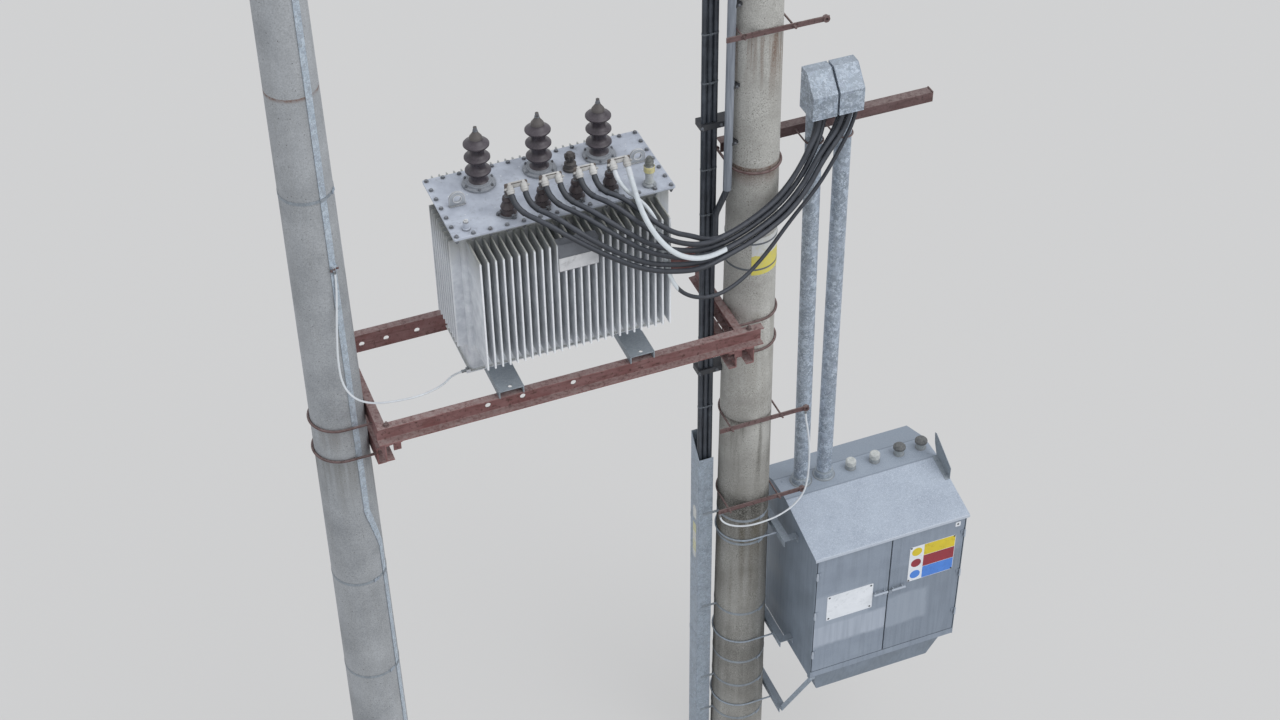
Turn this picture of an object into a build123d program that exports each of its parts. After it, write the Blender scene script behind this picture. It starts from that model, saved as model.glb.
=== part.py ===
from build123d import *
import os
from math import cos, pi, radians, sin

os.makedirs("parts", exist_ok=True)

# A two-pole transformer station, in millimetres. X runs from the left pole to the right pole,
# Y away from the viewer, Z up from the ground. The origin is the foot of the right pole.

# Fits
touch_gap = 0.3
hole_play = 1.0
cut_past = 5

# Tapered spun-concrete poles
pole_spacing = 2600
pole_height = 9000
pole_foot_d = 376
pole_taper = 0.014
pole_top_round = 25

# Platform of rolled channels
platform_top = 4300
channel_height = 125
channel_flange = 50
channel_web_t = 7
channel_root_r = 7
flange_tip_t = 7.2
flange_root_t = 10.8
beam_web_gap = 790
beam_end_past_pole_side = 40
beam_shift = 15
lower_channel_drop = 237
lower_channel_length = 400
ubolt_d = 16
ubolt_end_past_web = 40
web_hole_d = 34
web_hole_drop = 69
front_web_holes = (660, 870, 1180)
back_web_holes = (140, 290, 480)
cleat_leg = 45
cleat_t = 6
cleat_drop = 95
cleat_length = 50
cleat_past_web = 82

# Transformer on its skids
tank_centre_x = -1250
skid_centre_x = -1275
skid_pitch = 800
skid_width = 150
skid_height = 50
skid_t = 6
skid_length = 900
skid_bolt_d = 24
tank_length = 1175
tank_width = 420
tank_corner_r = 24
lid_past_tank_end = 57.5
lid_past_tank_side = 85
base_plate_t = 8
base_plate_rim = 15
lid_length = tank_length + 2 * lid_past_tank_end
lid_width = tank_width + 2 * lid_past_tank_side
lid_t = 12
lid_corner_r = 10
tank_rim_t = 10
tank_rim_inset = 8
transformer_height = 1018
fin_pitch = 44
fin_count = int(tank_length / fin_pitch)
fin_t = 9
fin_depth = 234
fin_height = 750
fin_below_lid = 92
fin_wall_t = 4
end_fin_count = int(tank_width / fin_pitch)
end_fin_depth = 60

# High-voltage bushings
hv_pitch = 358
hv_row_y = 148
hv_ring_d = 188
hv_ring_h = 12
hv_clamp_d = 150
hv_clamp_h = 14
hv_clamp_step = 4
hv_core_d = 88
hv_core_foot = 6
hv_shed_d = 148
hv_top_shed_d = 134
hv_shed_count = 3
hv_shed_pitch = 62
hv_first_shed = 62
hv_shed_under = 8
hv_shed_lip = 4
hv_shed_lip_h = 6
hv_shed_slope_start = 26
hv_shed_slope_end = 34
hv_cap_d = 66
hv_cap_h = 40
hv_cap_lip = 6
hv_cap_point = 12
hv_stud_d = 20
hv_height = 380

# Low-voltage bushings with two-way lugs
lv_pitch = 199
lv_row_y = -180
lv_base_d = 96
lv_base_h = 14
lv_foot_d = 82
lv_top_d = 52
lv_porcelain_h = 115
lv_skirt = 4
lv_low_groove_z = 40
lv_skirt_z = 52
lv_neck_z = 86
lv_head_z = 98
lv_stem_d = 26
lv_height = 192
lug_bar_length = 124
lug_bar_height = 26
lug_bar_t = 16
lug_bar_shift = 55
lug_pitch = 80
lug_d = 32
lug_reach = 35
lug_bar_lift = 4

# Small fittings on the lid
lifting_lug_from_edge = 113
lifting_lug_width = 90
lifting_lug_height = 90
lifting_lug_t = 12
lifting_lug_hole_d = 44
gauge_from_edge_x = 130
gauge_from_edge_y = 70
gauge_glass_d = 46
gauge_base_d = 74
gauge_base_h = 10
gauge_band_d = 64
gauge_band_low = 95
gauge_band_high = 129
gauge_shoulder = 171
gauge_step = 8
gauge_height = 190
tap_x = 160
tap_y = 83
tap_base_d = 84
tap_knob_d = 52
tap_base_h = 12
tap_body_d = 68
tap_neck_d = 40
tap_body_z = 44
tap_neck_z = 55
tap_knob_z = 71
tap_step = 6
tap_height = 110
pocket_from_edge_x = 92
pocket_from_edge_y = 72
pocket_d = 34
pocket_foot_d = 46
pocket_foot_h = 8
pocket_height = 46
plate_bracket_x = 8
plate_bracket_width = 236
plate_bracket_height = 180
plate_bracket_t = 3
plate_bracket_hook = 58

# Conduit beam behind the right pole, an equal angle with its corner at the front
conduit_beam_top = 5246
conduit_beam_leg = 65
conduit_beam_t = 6
conduit_beam_left = 140
conduit_beam_right = 1245
conduit_d = 102
conduit_wall = 4
conduit_y = 25
conduit_top_z = 5610
conduit_clamp_rod = 10
conduit_ubolt_drop = 39
left_conduit_top_x = 391
left_conduit_foot_x = 438
right_conduit_top_x = 585
right_conduit_foot_x = 606
conduit_collar_d = 124
conduit_collar_h = 45
conduit_foot_lift = 2
left_hood_x = 400
right_hood_x = 570
hood_width = 156
hood_front = -97
hood_slope_end = 10
hood_mouth_z = 5430
hood_break_z = 5580
hood_top_z = 5700
hood_t = 2
hood_plate_height = 60
hood_plate_bore_play = 2

# Cable riser beside the right pole
riser_x = -264
riser_y = 40
riser_cable_d = 32
riser_pitch = 34
riser_top_z = 8600
riser_pipe_d = 50
riser_pipe_angle = 200
riser_pipe_off = 27
pipe_saddle_z = (5400, 5780, 6300)
riser_pipe_low = 5080
riser_pipe_high = 6370
riser_sleeve_d = 38
riser_pipe_t = 3
riser_sleeve_inside = 90
riser_sleeve_drop = 220
riser_sleeve_bend = 180
pipe_saddle_h = 20
guard_width = 102
guard_depth = 130
guard_front_y = 0
guard_t = 3
guard_height = 3060
guard_slope = 160
riser_clamp_over_platform = 260
riser_clamp_step = 920
riser_clamp_z = [platform_top + riser_clamp_over_platform + k * riser_clamp_step for k in range(-1, 5)]
riser_clamp_h = 40
riser_clamp_side = 8
riser_clamp_cover = 27

# Straight bars held to the right pole by bent rods
bar_z = (2567, 3280, 6140)
bar_left = 250
bar_right = 365
bar_height = 32
bar_t = 8
bar_rod_d = 12
bar_rod_past = 22
bar_eye_d = 40

# Bands
band_width = 20
band_t = 1.5
left_band_z = (1985, 2836, 5712)
right_band_z = (1007, 2184)
guard_band_z = (406, 760, 1500, 2400)

# Earth strip on the left pole
strip_width = 40
strip_t = 4
strip_high_angle = -66
strip_low_angle = -38
strip_top_z = 8700
strip_step_high = 3420
strip_step_low = 3080
strip_steps = 4
strip_band_step = 1

# Distribution cabinet beside the right pole
cabinet_left = 280
cabinet_width = 1105
cabinet_front = -580
cabinet_depth = 900
cabinet_bottom = 1130
cabinet_eave = 2310
sheet_t = 4
door_bottom = 1192
door_top = 2280
door_gap = 8
door_t = 22
door_sheet = 3
door_play = 6
frame_bar = 40
roof_over = 14
roof_ridge = 2430
roof_front_crease = 475
roof_strip = 200
roof_back_rise = 20
roof_lip = 20
hopper_drop = 290
hopper_top_inset = 46
hopper_inset = 120
hinge_d = 14
hinge_length = 60
hinge_leaf = 28
hinge_z = (1370, 1760, 2142)
hinge_stand = 1
hinge_root = 3
handle_z = 1810
handle_length = 100
handle_d = 16
handle_from_gap = 12
handle_stand = 26
handle_post_d = 11
hasp_width = 56
hasp_height = 34
hasp_t = 6
hasp_gap = 4
hasp_drop = 32
stub_x = (1165, 1330)
plain_stub_x = (800, 980)
stub_y = 10
stub_d = 62
stub_height = 52
stub_cap_d = 84
stub_cap_h = 26
stub_cap_edge = 16
stub_cap_taper = 10
plain_stub_shoulder = 31
plain_cap_over = 4
plain_cap_side = 65
plain_stub_height = 70

# Cabinet brackets of angle iron
arm_leg = 50
arm_t = 5
arm_z = (1250, 2250)
arm_half = 300
lower_arm_z = 580
low_arm_half = 330
strut_inset = 21
strut_leg = 30
strut_pad = 40
strut_pad_t = 6

# Free cables
cable_d = 30
thin_cable_d = 24
wire_d = 12
terminal_run = 60
hood_run = 65
strip_clamp_z = 5250
strip_clamp_h = 32
strip_clamp_t = 20
earth_boss_length = 16
earth_boss_width = 30
earth_boss_height = 22

right_x = 0
left_x = -pole_spacing


def pole_radius(z):
    return (pole_foot_d - pole_taper * z) / 2


def write(shape, name):
    shape.label = name
    export_step(shape, "parts/" + name + ".step")


def box(x0, x1, y0, y1, z0, z1):
    return Pos((x0 + x1) / 2, (y0 + y1) / 2, (z0 + z1) / 2) * Box(x1 - x0, y1 - y0, z1 - z0)


def rod(start, end, diameter):
    run = Vector(end) - Vector(start)
    plane = Plane(origin=start, z_dir=run)
    return extrude(plane * Circle(diameter / 2), run.length)


def extrude_x(points, x0, length):
    # Side-view outline of (y, z) points, extruded towards +X from x0.
    plane = Plane(origin=(x0, 0, 0), x_dir=(0, 1, 0), z_dir=(1, 0, 0))
    return extrude(make_face(plane * Polyline(*points, close=True)), length, dir=(1, 0, 0))


def turned(points):
    # Solid of revolution about Z from (radius, height) points.
    outline = make_face(Plane.XZ * Polyline(*[(r, z) for r, z in points], close=True))
    return revolve(outline, Axis.Z)


def ring(x, z0, z1, inner_r, outer_r):
    outer = Cylinder(outer_r, z1 - z0)
    inner = Cylinder(inner_r, z1 - z0 + 2)
    return Pos(x, 0, (z0 + z1) / 2) * (outer - inner)


def concrete_pole(x):
    body = Cone(pole_radius(0), pole_radius(pole_height), pole_height)
    body = Pos(x, 0, pole_height / 2) * body
    return fillet(body.edges().group_by(Axis.Z)[-1], pole_top_round)


def channel_profile():
    # Rolled channel section: web on the local Y axis, flanges towards local +X.
    outline = Polyline(
        (0, 0), (channel_flange, 0), (channel_flange, flange_tip_t),
        (channel_web_t, flange_root_t), (channel_web_t, channel_height - flange_root_t),
        (channel_flange, channel_height - flange_tip_t),
        (channel_flange, channel_height), (0, channel_height), close=True)
    face = make_face(outline)
    roots = [v for v in face.vertices() if channel_web_t / 2 < v.X < channel_flange / 2]
    return fillet(roots, channel_root_r)


beam_left = left_x + pole_radius(platform_top) - beam_end_past_pole_side + beam_shift
beam_right = right_x - pole_radius(platform_top) + beam_end_past_pole_side + beam_shift
beam_web_y = beam_web_gap / 2
beam_tip_y = beam_web_y + channel_flange
beam_low = platform_top - channel_height


def beam(side, holes):
    # Channel along X, its flanges outward; side is -1 for the front beam and 1 for the back one.
    start = beam_left if side > 0 else beam_right
    plane = Plane(origin=(start, side * beam_web_y, beam_low), x_dir=(0, side, 0), z_dir=(side, 0, 0))
    body = extrude(plane * channel_profile(), beam_right - beam_left)
    hole_z = platform_top - web_hole_drop
    for offset in holes:
        x = beam_left + offset
        body -= rod((x, side * (beam_web_y - cut_past), hole_z),
                    (x, side * (beam_web_y + channel_web_t + cut_past), hole_z), web_hole_d)
    return body


cross_top = beam_low
cross_low = cross_top - channel_height
cross_bolt_z = cross_low + channel_height / 2
lower_cross_bolt_z = cross_bolt_z - lower_channel_drop
lower_cross_low = lower_cross_bolt_z - channel_height / 2


def web_x(x, inward):
    return x + inward * (pole_radius(lower_cross_low) + touch_gap)


def leg_y(z):
    return pole_radius(z) + touch_gap + ubolt_d / 2


def cross_channel(x, inward, low, half_length):
    # Channel along Y whose web stands against the inner side of a pole.
    plane = Plane(origin=(web_x(x, inward), inward * half_length, low), x_dir=(inward, 0, 0),
                  z_dir=(0, -inward, 0))
    body = extrude(plane * channel_profile(), 2 * half_length)
    z = low + channel_height / 2
    for side in (-1, 1):
        body -= rod((web_x(x, inward) - inward * cut_past, side * leg_y(z), z),
                    (web_x(x, inward) + inward * (channel_web_t + cut_past), side * leg_y(z), z),
                    ubolt_d + 2 * hole_play)
    return body


def bent_rod(x, z, inward, reach, diameter, side_gap):
    # Rod bent round a pole, with both legs pointing inward.
    r = pole_radius(z - diameter) + side_gap + diameter / 2
    end = x + inward * reach
    path = Wire([
        Edge.make_line((end, -r, z), (x, -r, z)),
        Edge.make_three_point_arc((x, -r, z), (x - inward * r, 0, z), (x, r, z)),
        Edge.make_line((x, r, z), (end, r, z))])
    section = Plane(origin=(end, -r, z), z_dir=(-inward, 0, 0)) * Circle(diameter / 2)
    return sweep(section, path=path)


def platform_ubolts(x, inward):
    reach = pole_radius(lower_cross_low) + touch_gap + channel_web_t + ubolt_end_past_web
    upper = bent_rod(x, cross_bolt_z, inward, reach, ubolt_d, touch_gap)
    lower = bent_rod(x, lower_cross_bolt_z, inward, reach, ubolt_d, touch_gap)
    return upper, lower


def beam_cleat(x, inward):
    # Short angle hung under the front beam beside each cross channel.
    x0 = web_x(x, inward) + inward * cleat_past_web
    y1 = -beam_web_y
    upright = box(x0 - cleat_leg / 2, x0 + cleat_leg / 2, y1 - cleat_t, y1, beam_low - cleat_drop, beam_low)
    foot = box(x0 - cleat_leg / 2, x0 + cleat_leg / 2, y1 - cleat_length, y1, beam_low - cleat_t, beam_low)
    return upright + foot


def skid(x):
    # Folded channel, web on top, flanges standing on the two beams.
    low = platform_top
    top = low + skid_height
    half = skid_width / 2
    body = box(x - half, x + half, -skid_length / 2, skid_length / 2, low, top)
    body -= box(x - half + skid_t, x + half - skid_t, -skid_length / 2 - cut_past,
                skid_length / 2 + cut_past, low - cut_past, top - skid_t)
    for side in (-1, 1):
        y = side * (beam_web_y + channel_flange / 2)
        body -= rod((x, y, top - skid_t - cut_past), (x, y, top + cut_past), skid_bolt_d)
    return body


tank_base = platform_top + skid_height
lid_top = platform_top + skid_height + transformer_height
lid_low = lid_top - lid_t
tank_top = lid_low - tank_rim_t
fin_top = lid_top - fin_below_lid
fin_low = fin_top - fin_height


def tank():
    half_l = tank_length / 2
    half_w = tank_width / 2
    body = box(tank_centre_x - half_l, tank_centre_x + half_l, -half_w, half_w, tank_base, tank_top)
    body = fillet(body.edges().filter_by(Axis.Z), tank_corner_r)
    plate = box(tank_centre_x - half_l - base_plate_rim, tank_centre_x + half_l + base_plate_rim,
                -half_w - base_plate_rim, half_w + base_plate_rim, tank_base, tank_base + base_plate_t)
    rim = box(tank_centre_x - lid_length / 2 + tank_rim_inset, tank_centre_x + lid_length / 2 - tank_rim_inset,
              -lid_width / 2 + tank_rim_inset, lid_width / 2 - tank_rim_inset, tank_top, lid_low)
    boss_end = tank_centre_x - half_l - base_plate_rim
    boss = box(boss_end - earth_boss_length, boss_end + base_plate_rim / 2, -half_w - earth_boss_width / 2,
               -half_w + earth_boss_width / 2, tank_base, tank_base + earth_boss_height)
    return body + plate + rim + boss


def fin_bank(count, pitch, depth, wall_length):
    # Corrugated wall: a thin back sheet with rounded-tip fins towards local +Y.
    sheet = Pos(0, fin_wall_t / 2) * Rectangle(wall_length, fin_wall_t)
    for k in range(count):
        x = (k - (count - 1) / 2) * pitch
        sheet += Pos(x, depth / 2) * Rectangle(fin_t, depth)
    return extrude(sheet, fin_height)


def long_fins(side):
    bank = fin_bank(fin_count, fin_pitch, fin_depth, (fin_count - 1) * fin_pitch + fin_t)
    angle = 180 if side < 0 else 0
    return Pos(tank_centre_x, side * tank_width / 2, fin_low) * Rot(0, 0, angle) * bank


def end_fins(side):
    bank = fin_bank(end_fin_count, fin_pitch, end_fin_depth, (end_fin_count - 1) * fin_pitch + fin_t)
    angle = 90 if side < 0 else -90
    return Pos(tank_centre_x + side * tank_length / 2, 0, fin_low) * Rot(0, 0, angle) * bank


def lid():
    # Cover plate with the thermometer pocket welded near its front corner.
    body = Pos(tank_centre_x, 0, (lid_low + lid_top) / 2) * Box(lid_length, lid_width, lid_t)
    body = fillet(body.edges().filter_by(Axis.Z), lid_corner_r)
    pocket = turned([(0, 0), (pocket_foot_d / 2, 0), (pocket_foot_d / 2, pocket_foot_h),
                     (pocket_d / 2, pocket_foot_h * 1.5), (pocket_d / 2, pocket_height), (0, pocket_height)])
    x = tank_centre_x - lid_length / 2 + pocket_from_edge_x
    y = -lid_width / 2 + pocket_from_edge_y
    return body + Pos(x, y, lid_top) * pocket


def hv_bushing(x):
    # Porcelain with overhanging sheds on a double clamping ring, with a metal cap and stud.
    core = hv_core_d / 2
    clamp = hv_clamp_d / 2
    clamp_top = hv_ring_h + hv_clamp_h
    points = [(0, 0), (hv_ring_d / 2, 0), (hv_ring_d / 2, hv_ring_h), (clamp + hv_clamp_step, hv_ring_h),
              (clamp, clamp_top), (core + hv_core_foot, clamp_top + hv_clamp_step)]
    for k in range(hv_shed_count):
        z = hv_first_shed + k * hv_shed_pitch
        shed = (hv_shed_d if k < hv_shed_count - 1 else hv_top_shed_d) / 2
        points += [(core, z - hv_shed_under), (shed - hv_shed_lip, z - hv_shed_lip_h / 2),
                   (shed, z + hv_shed_lip_h / 2), (shed - hv_shed_lip, z + 1.5 * hv_shed_lip_h),
                   (core + hv_shed_under, z + hv_shed_slope_start), (core, z + hv_shed_slope_end)]
    cap_low = hv_first_shed + hv_shed_count * hv_shed_pitch
    cap = hv_cap_d / 2
    points += [(core - hv_cap_lip, cap_low - hv_cap_lip), (cap + hv_cap_lip, cap_low),
               (cap, cap_low + hv_cap_lip), (cap, cap_low + hv_cap_h / 2),
               (cap - hv_cap_point, cap_low + hv_cap_h), (hv_stud_d / 2, cap_low + hv_cap_h + hv_cap_lip),
               (hv_stud_d / 2, hv_height), (0, hv_height)]
    return Pos(x, hv_row_y, lid_top) * turned(points)


def lv_bushing(x):
    # Short porcelain cone, a stem, and a bar with two lugs leaning forwards.
    foot = lv_foot_d / 2
    neck = lv_top_d / 2
    stem = lv_stem_d / 2
    body = turned([(0, 0), (lv_base_d / 2, 0), (lv_base_d / 2, lv_base_h), (foot, lv_base_h),
                   (foot - lv_skirt, lv_low_groove_z), (foot, lv_skirt_z), (neck, lv_neck_z),
                   (neck + lv_skirt, lv_head_z), (neck, lv_porcelain_h), (stem, lv_porcelain_h + lv_skirt),
                   (stem, lv_height), (0, lv_height)])
    body = Pos(x, lv_row_y, lid_top) * body
    bar_x = x + lug_bar_shift
    bar_top = lid_top + lv_height + lug_bar_lift
    body += box(bar_x - lug_bar_length / 2, bar_x + lug_bar_length / 2, lv_row_y - lug_bar_t / 2,
                lv_row_y + lug_bar_t / 2, bar_top - lug_bar_height, bar_top)
    for side in (-1, 1):
        lug_x = bar_x + side * lug_pitch / 2
        start = (lug_x, lv_row_y, bar_top - lug_bar_height / 2)
        end = (lug_x, lv_row_y - lug_reach, bar_top - lug_bar_height / 2 - lug_reach)
        body += rod(start, end, lug_d)
    return body


def lifting_lugs():
    lugs = []
    half = lifting_lug_width / 2
    for side in (-1, 1):
        x = tank_centre_x + side * (lid_length / 2 - lifting_lug_from_edge)
        plane = Plane(origin=(x, lifting_lug_t / 2, lid_top), x_dir=(1, 0, 0), z_dir=(0, -1, 0))
        outline = Pos(0, (lifting_lug_height - half) / 2) * Rectangle(2 * half, lifting_lug_height - half)
        outline += Pos(0, lifting_lug_height - half) * Circle(half)
        outline -= Pos(0, lifting_lug_height - half) * Circle(lifting_lug_hole_d / 2)
        lugs.append(extrude(plane * outline, lifting_lug_t))
    return lugs


def oil_gauge():
    x = tank_centre_x + lid_length / 2 - gauge_from_edge_x
    y = -lid_width / 2 + gauge_from_edge_y
    glass = gauge_glass_d / 2
    band = gauge_band_d / 2
    body = turned([(0, 0), (gauge_base_d / 2, 0), (gauge_base_d / 2, gauge_base_h),
                   (glass, gauge_base_h + gauge_step), (glass, gauge_band_low - gauge_step),
                   (band, gauge_band_low), (band, gauge_band_high), (glass, gauge_band_high + gauge_step),
                   (glass, gauge_shoulder), (glass / 2, gauge_height), (0, gauge_height)])
    return Pos(x, y, lid_top) * body


def tap_changer():
    knob = tap_knob_d / 2
    body = turned([(0, 0), (tap_base_d / 2, 0), (tap_base_d / 2, tap_base_h),
                   (tap_body_d / 2, tap_base_h + tap_step), (tap_body_d / 2, tap_body_z),
                   (tap_neck_d / 2, tap_neck_z), (knob, tap_knob_z), (knob, tap_height - 2 * tap_step),
                   (knob - tap_step, tap_height), (0, tap_height)])
    return Pos(tank_centre_x + tap_x, tap_y, lid_top) * body


def nameplate_bracket():
    # Folded sheet hooked over the fin tips.
    y = -(tank_width / 2 + fin_depth)
    x = tank_centre_x + plate_bracket_x
    half = plate_bracket_width / 2
    top = fin_top + plate_bracket_t
    front = box(x - half, x + half, y - plate_bracket_t, y, fin_top - plate_bracket_height, top)
    hook = box(x - half, x + half, y, y + plate_bracket_hook, fin_top, top)
    return front + hook


conduit_beam_front = pole_radius(conduit_beam_top - conduit_beam_leg) + touch_gap


def conduit_beam():
    # Angle behind the right pole, its corner at the front, with a lip at the free end.
    back = conduit_beam_front + conduit_beam_leg
    low = conduit_beam_top - conduit_beam_leg
    body = box(-conduit_beam_left, conduit_beam_right, conduit_beam_front, back,
               conduit_beam_top - conduit_beam_t, conduit_beam_top)
    body += box(-conduit_beam_left, conduit_beam_right, conduit_beam_front,
                conduit_beam_front + conduit_beam_t, low, conduit_beam_top)
    body += box(conduit_beam_right - conduit_beam_t, conduit_beam_right, conduit_beam_front, back,
                low, conduit_beam_top + conduit_beam_t)
    for side in (-1, 1):
        x = side * leg_y(conduit_ubolt_z)
        body -= rod((x, conduit_beam_front - cut_past, conduit_ubolt_z),
                    (x, conduit_beam_front + conduit_beam_t + cut_past, conduit_ubolt_z),
                    ubolt_d + 2 * hole_play)
    return body


conduit_ubolt_z = conduit_beam_top - conduit_ubolt_drop


def conduit_ubolt():
    # Rod bent round the front of the right pole, its legs through the angle behind it.
    reach = conduit_beam_front + conduit_beam_t + ubolt_end_past_web / 2
    return Rot(0, 0, 90) * bent_rod(0, conduit_ubolt_z, 1, reach, ubolt_d, touch_gap)


def conduit_x(top_x, foot_x, z):
    # The conduits lean a little, so their centre moves with height.
    return foot_x + (top_x - foot_x) * (z - roof_ridge) / (conduit_top_z - roof_ridge)


def conduit(top_x, foot_x):
    low = Vector(foot_x, conduit_y, roof_ridge + conduit_foot_lift)
    high = Vector(top_x, conduit_y, conduit_top_z)
    past = (high - low).normalized() * conduit_d
    collar = Pos(foot_x, conduit_y, roof_ridge + conduit_collar_h / 2) * Cylinder(
        conduit_collar_d / 2, conduit_collar_h)
    return rod(low, high, conduit_d) + collar - rod(low - past, high + past, conduit_d - 2 * conduit_wall)


def conduit_clamp(top_x, foot_x):
    # Bent rod round the front of a conduit, its legs reaching back to the angle.
    z = conduit_beam_top - conduit_beam_leg / 2
    x = conduit_x(top_x, foot_x, z)
    r = conduit_d / 2 + 2 * touch_gap + conduit_clamp_rod / 2
    end = conduit_beam_front
    path = Wire([
        Edge.make_line((x - r, end, z), (x - r, conduit_y, z)),
        Edge.make_three_point_arc((x - r, conduit_y, z), (x, conduit_y - r, z), (x + r, conduit_y, z)),
        Edge.make_line((x + r, conduit_y, z), (x + r, end, z))])
    section = Plane(origin=(x - r, end, z), z_dir=(0, -1, 0)) * Circle(conduit_clamp_rod / 2)
    return sweep(section, path=path)


hood_back = conduit_y + conduit_d / 2 + touch_gap + hood_t
hood_plate_z = hood_mouth_z + hood_plate_height


def hood(centre_x, top_x, foot_x):
    # Folded sheet hood, open below, slipped over the conduit's end, with the plate the cables enter.
    def solid(inset, mouth):
        outline = [(hood_front + inset, mouth), (hood_front + inset, hood_break_z - inset / 2),
                   (hood_slope_end + inset / 2, hood_top_z - inset), (hood_back - inset, hood_top_z - inset),
                   (hood_back - inset, mouth)]
        return extrude_x(outline, centre_x - hood_width / 2 + inset, hood_width - 2 * inset)

    shell = solid(0, hood_mouth_z) - solid(hood_t, hood_mouth_z - cut_past)
    half = hood_width / 2 - hood_t
    plate = box(centre_x - half, centre_x + half, hood_front + hood_t, hood_back - hood_t,
                hood_plate_z, hood_plate_z + hood_t)
    x = conduit_x(top_x, foot_x, hood_plate_z)
    plate -= Pos(x, conduit_y, hood_plate_z) * Cylinder(conduit_d / 2 + hood_plate_bore_play, 2 * cut_past)
    return shell + plate


def riser_places():
    places = [(riser_x + (k - 1) * riser_pitch, riser_y) for k in range(3)]
    return places + [(riser_x + riser_pitch / 2, riser_y + riser_pitch)]


def riser_cables():
    cables = []
    for x, y in riser_places():
        cable = Pos(x, y, riser_top_z / 2) * Cylinder(riser_cable_d / 2, riser_top_z)
        cables.append(fillet(cable.edges().group_by(Axis.Z)[-1], riser_cable_d / 4))
    return cables


def beside_pole(z, angle, distance):
    # Point beside the right pole, a distance off its surface.
    reach = pole_radius(z) + distance
    return (reach * cos(radians(angle)), reach * sin(radians(angle)), z)


def riser_pipe():
    # Grey pipe up the pole, with the black sleeve that brings its cable over to the riser.
    off = riser_pipe_d / 2 + riser_pipe_off
    low = beside_pole(riser_pipe_low, riser_pipe_angle, off)
    high = beside_pole(riser_pipe_high, riser_pipe_angle, off)
    pipe = rod(low, high, riser_pipe_d) - rod(low, high, riser_pipe_d - 2 * riser_pipe_t)
    inside = beside_pole(riser_pipe_low + riser_sleeve_inside, riser_pipe_angle, off)
    foot = (riser_x + riser_pitch, riser_y - riser_pitch - hole_play - touch_gap,
            riser_pipe_low - riser_sleeve_drop)
    end = (foot[0], foot[1], riser_clamp_z[1] + riser_clamp_h)
    path = FilletPolyline(inside, low, foot, end, radius=riser_sleeve_bend)
    section = Plane(origin=path @ 0, z_dir=path % 0) * Circle(riser_sleeve_d / 2)
    return [pipe, sweep(section, path=path)]


def pipe_saddle(z):
    # Block between the right pole and the grey pipe.
    centre = pole_radius(z) + riser_pipe_off + riser_pipe_d / 2
    block = box(pole_radius(z) - cut_past, centre, -riser_pipe_d / 2, riser_pipe_d / 2,
                z - pipe_saddle_h / 2, z + pipe_saddle_h / 2)
    block -= Pos(0, 0, z) * Cylinder(pole_radius(z - pipe_saddle_h) + touch_gap, 2 * pipe_saddle_h)
    block -= Pos(centre, 0, z) * Cylinder(riser_pipe_d / 2 + 2 * touch_gap, 2 * pipe_saddle_h)
    return Rot(0, 0, riser_pipe_angle) * block


def riser_clamp(z):
    # Block between the pole and the riser cables, bored for them.
    low = z - riser_clamp_h / 2
    high = z + riser_clamp_h / 2
    half = riser_pitch * 1.5 + riser_clamp_side
    block = box(riser_x - half, riser_x / 2, riser_y - riser_clamp_cover,
                riser_y + riser_pitch + riser_clamp_cover, low, high)
    block -= Pos(0, 0, z) * Cylinder(pole_radius(low) + touch_gap, 2 * riser_clamp_h)
    for x, y in riser_places():
        block -= Pos(x, y, z) * Cylinder(riser_cable_d / 2 + touch_gap, 2 * riser_clamp_h)
    return block


def guard_edges():
    x0 = riser_x - riser_pitch * 1.5 - guard_t - hole_play
    return x0, x0 + guard_width


def cable_guard():
    # Sheet channel, open towards the pole, its top cut on a slope.
    x0, x1 = guard_edges()
    y0 = guard_front_y
    y1 = y0 + guard_depth
    body = box(x0, x1, y0, y1, 0, guard_height)
    body -= box(x0 + guard_t, x1 + cut_past, y0 + guard_t, y1 - guard_t, -cut_past, guard_height + cut_past)
    cut = [(y0 - cut_past, guard_height - guard_slope), (y0 + guard_t, guard_height - guard_slope),
           (y1, guard_height), (y1, guard_height + cut_past), (y0 - cut_past, guard_height + cut_past)]
    return body - extrude_x(cut, x0 - cut_past, guard_width + 2 * cut_past)


def support_bar(z):
    # Flat bar across the front of the right pole, with an eye at its free end.
    y1 = -(pole_radius(z - bar_height) + touch_gap)
    y0 = y1 - bar_t
    body = box(-bar_left, bar_right, y0, y1, z - bar_height / 2, z + bar_height / 2)
    eye = rod((bar_right - bar_eye_d / 2, y0 - bar_t, z), (bar_right - bar_eye_d / 2, y1 + bar_t, z), bar_eye_d)
    body += eye
    body -= rod((bar_right - bar_eye_d / 2, y0 - 2 * bar_t, z), (bar_right - bar_eye_d / 2, y1 + 2 * bar_t, z),
                bar_eye_d / 2)
    for side in (-1, 1):
        x = side * bar_leg_x(z)
        body -= rod((x, y0 - cut_past, z), (x, y1 + cut_past, z), bar_rod_d + 2 * hole_play)
    return body


def bar_leg_x(z):
    return pole_radius(z - bar_rod_d) + touch_gap + bar_rod_d / 2


def bar_rod(z):
    # Rod bent round the back of the pole, its legs through the flat bar.
    reach = pole_radius(z - bar_height) + touch_gap + bar_t + bar_rod_past
    return Rot(0, 0, -90) * bent_rod(0, z, 1, reach, bar_rod_d, touch_gap)


def band(x, z):
    r = pole_radius(z - band_width / 2) + touch_gap
    return ring(x, z - band_width / 2, z + band_width / 2, r, r + band_t)


def guard_band(z):
    # Band round the right pole with an ear bolted to the front of the cable guard.
    r = pole_radius(z - band_width / 2) + touch_gap
    x0, x1 = guard_edges()
    ear = box(x0 + guard_width / 3, -r, guard_front_y - guard_t, guard_front_y,
              z - band_width / 2, z + band_width / 2)
    ear -= Pos(0, 0, z) * Cylinder(r, 2 * band_width)
    return band(right_x, z) + ear


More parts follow.
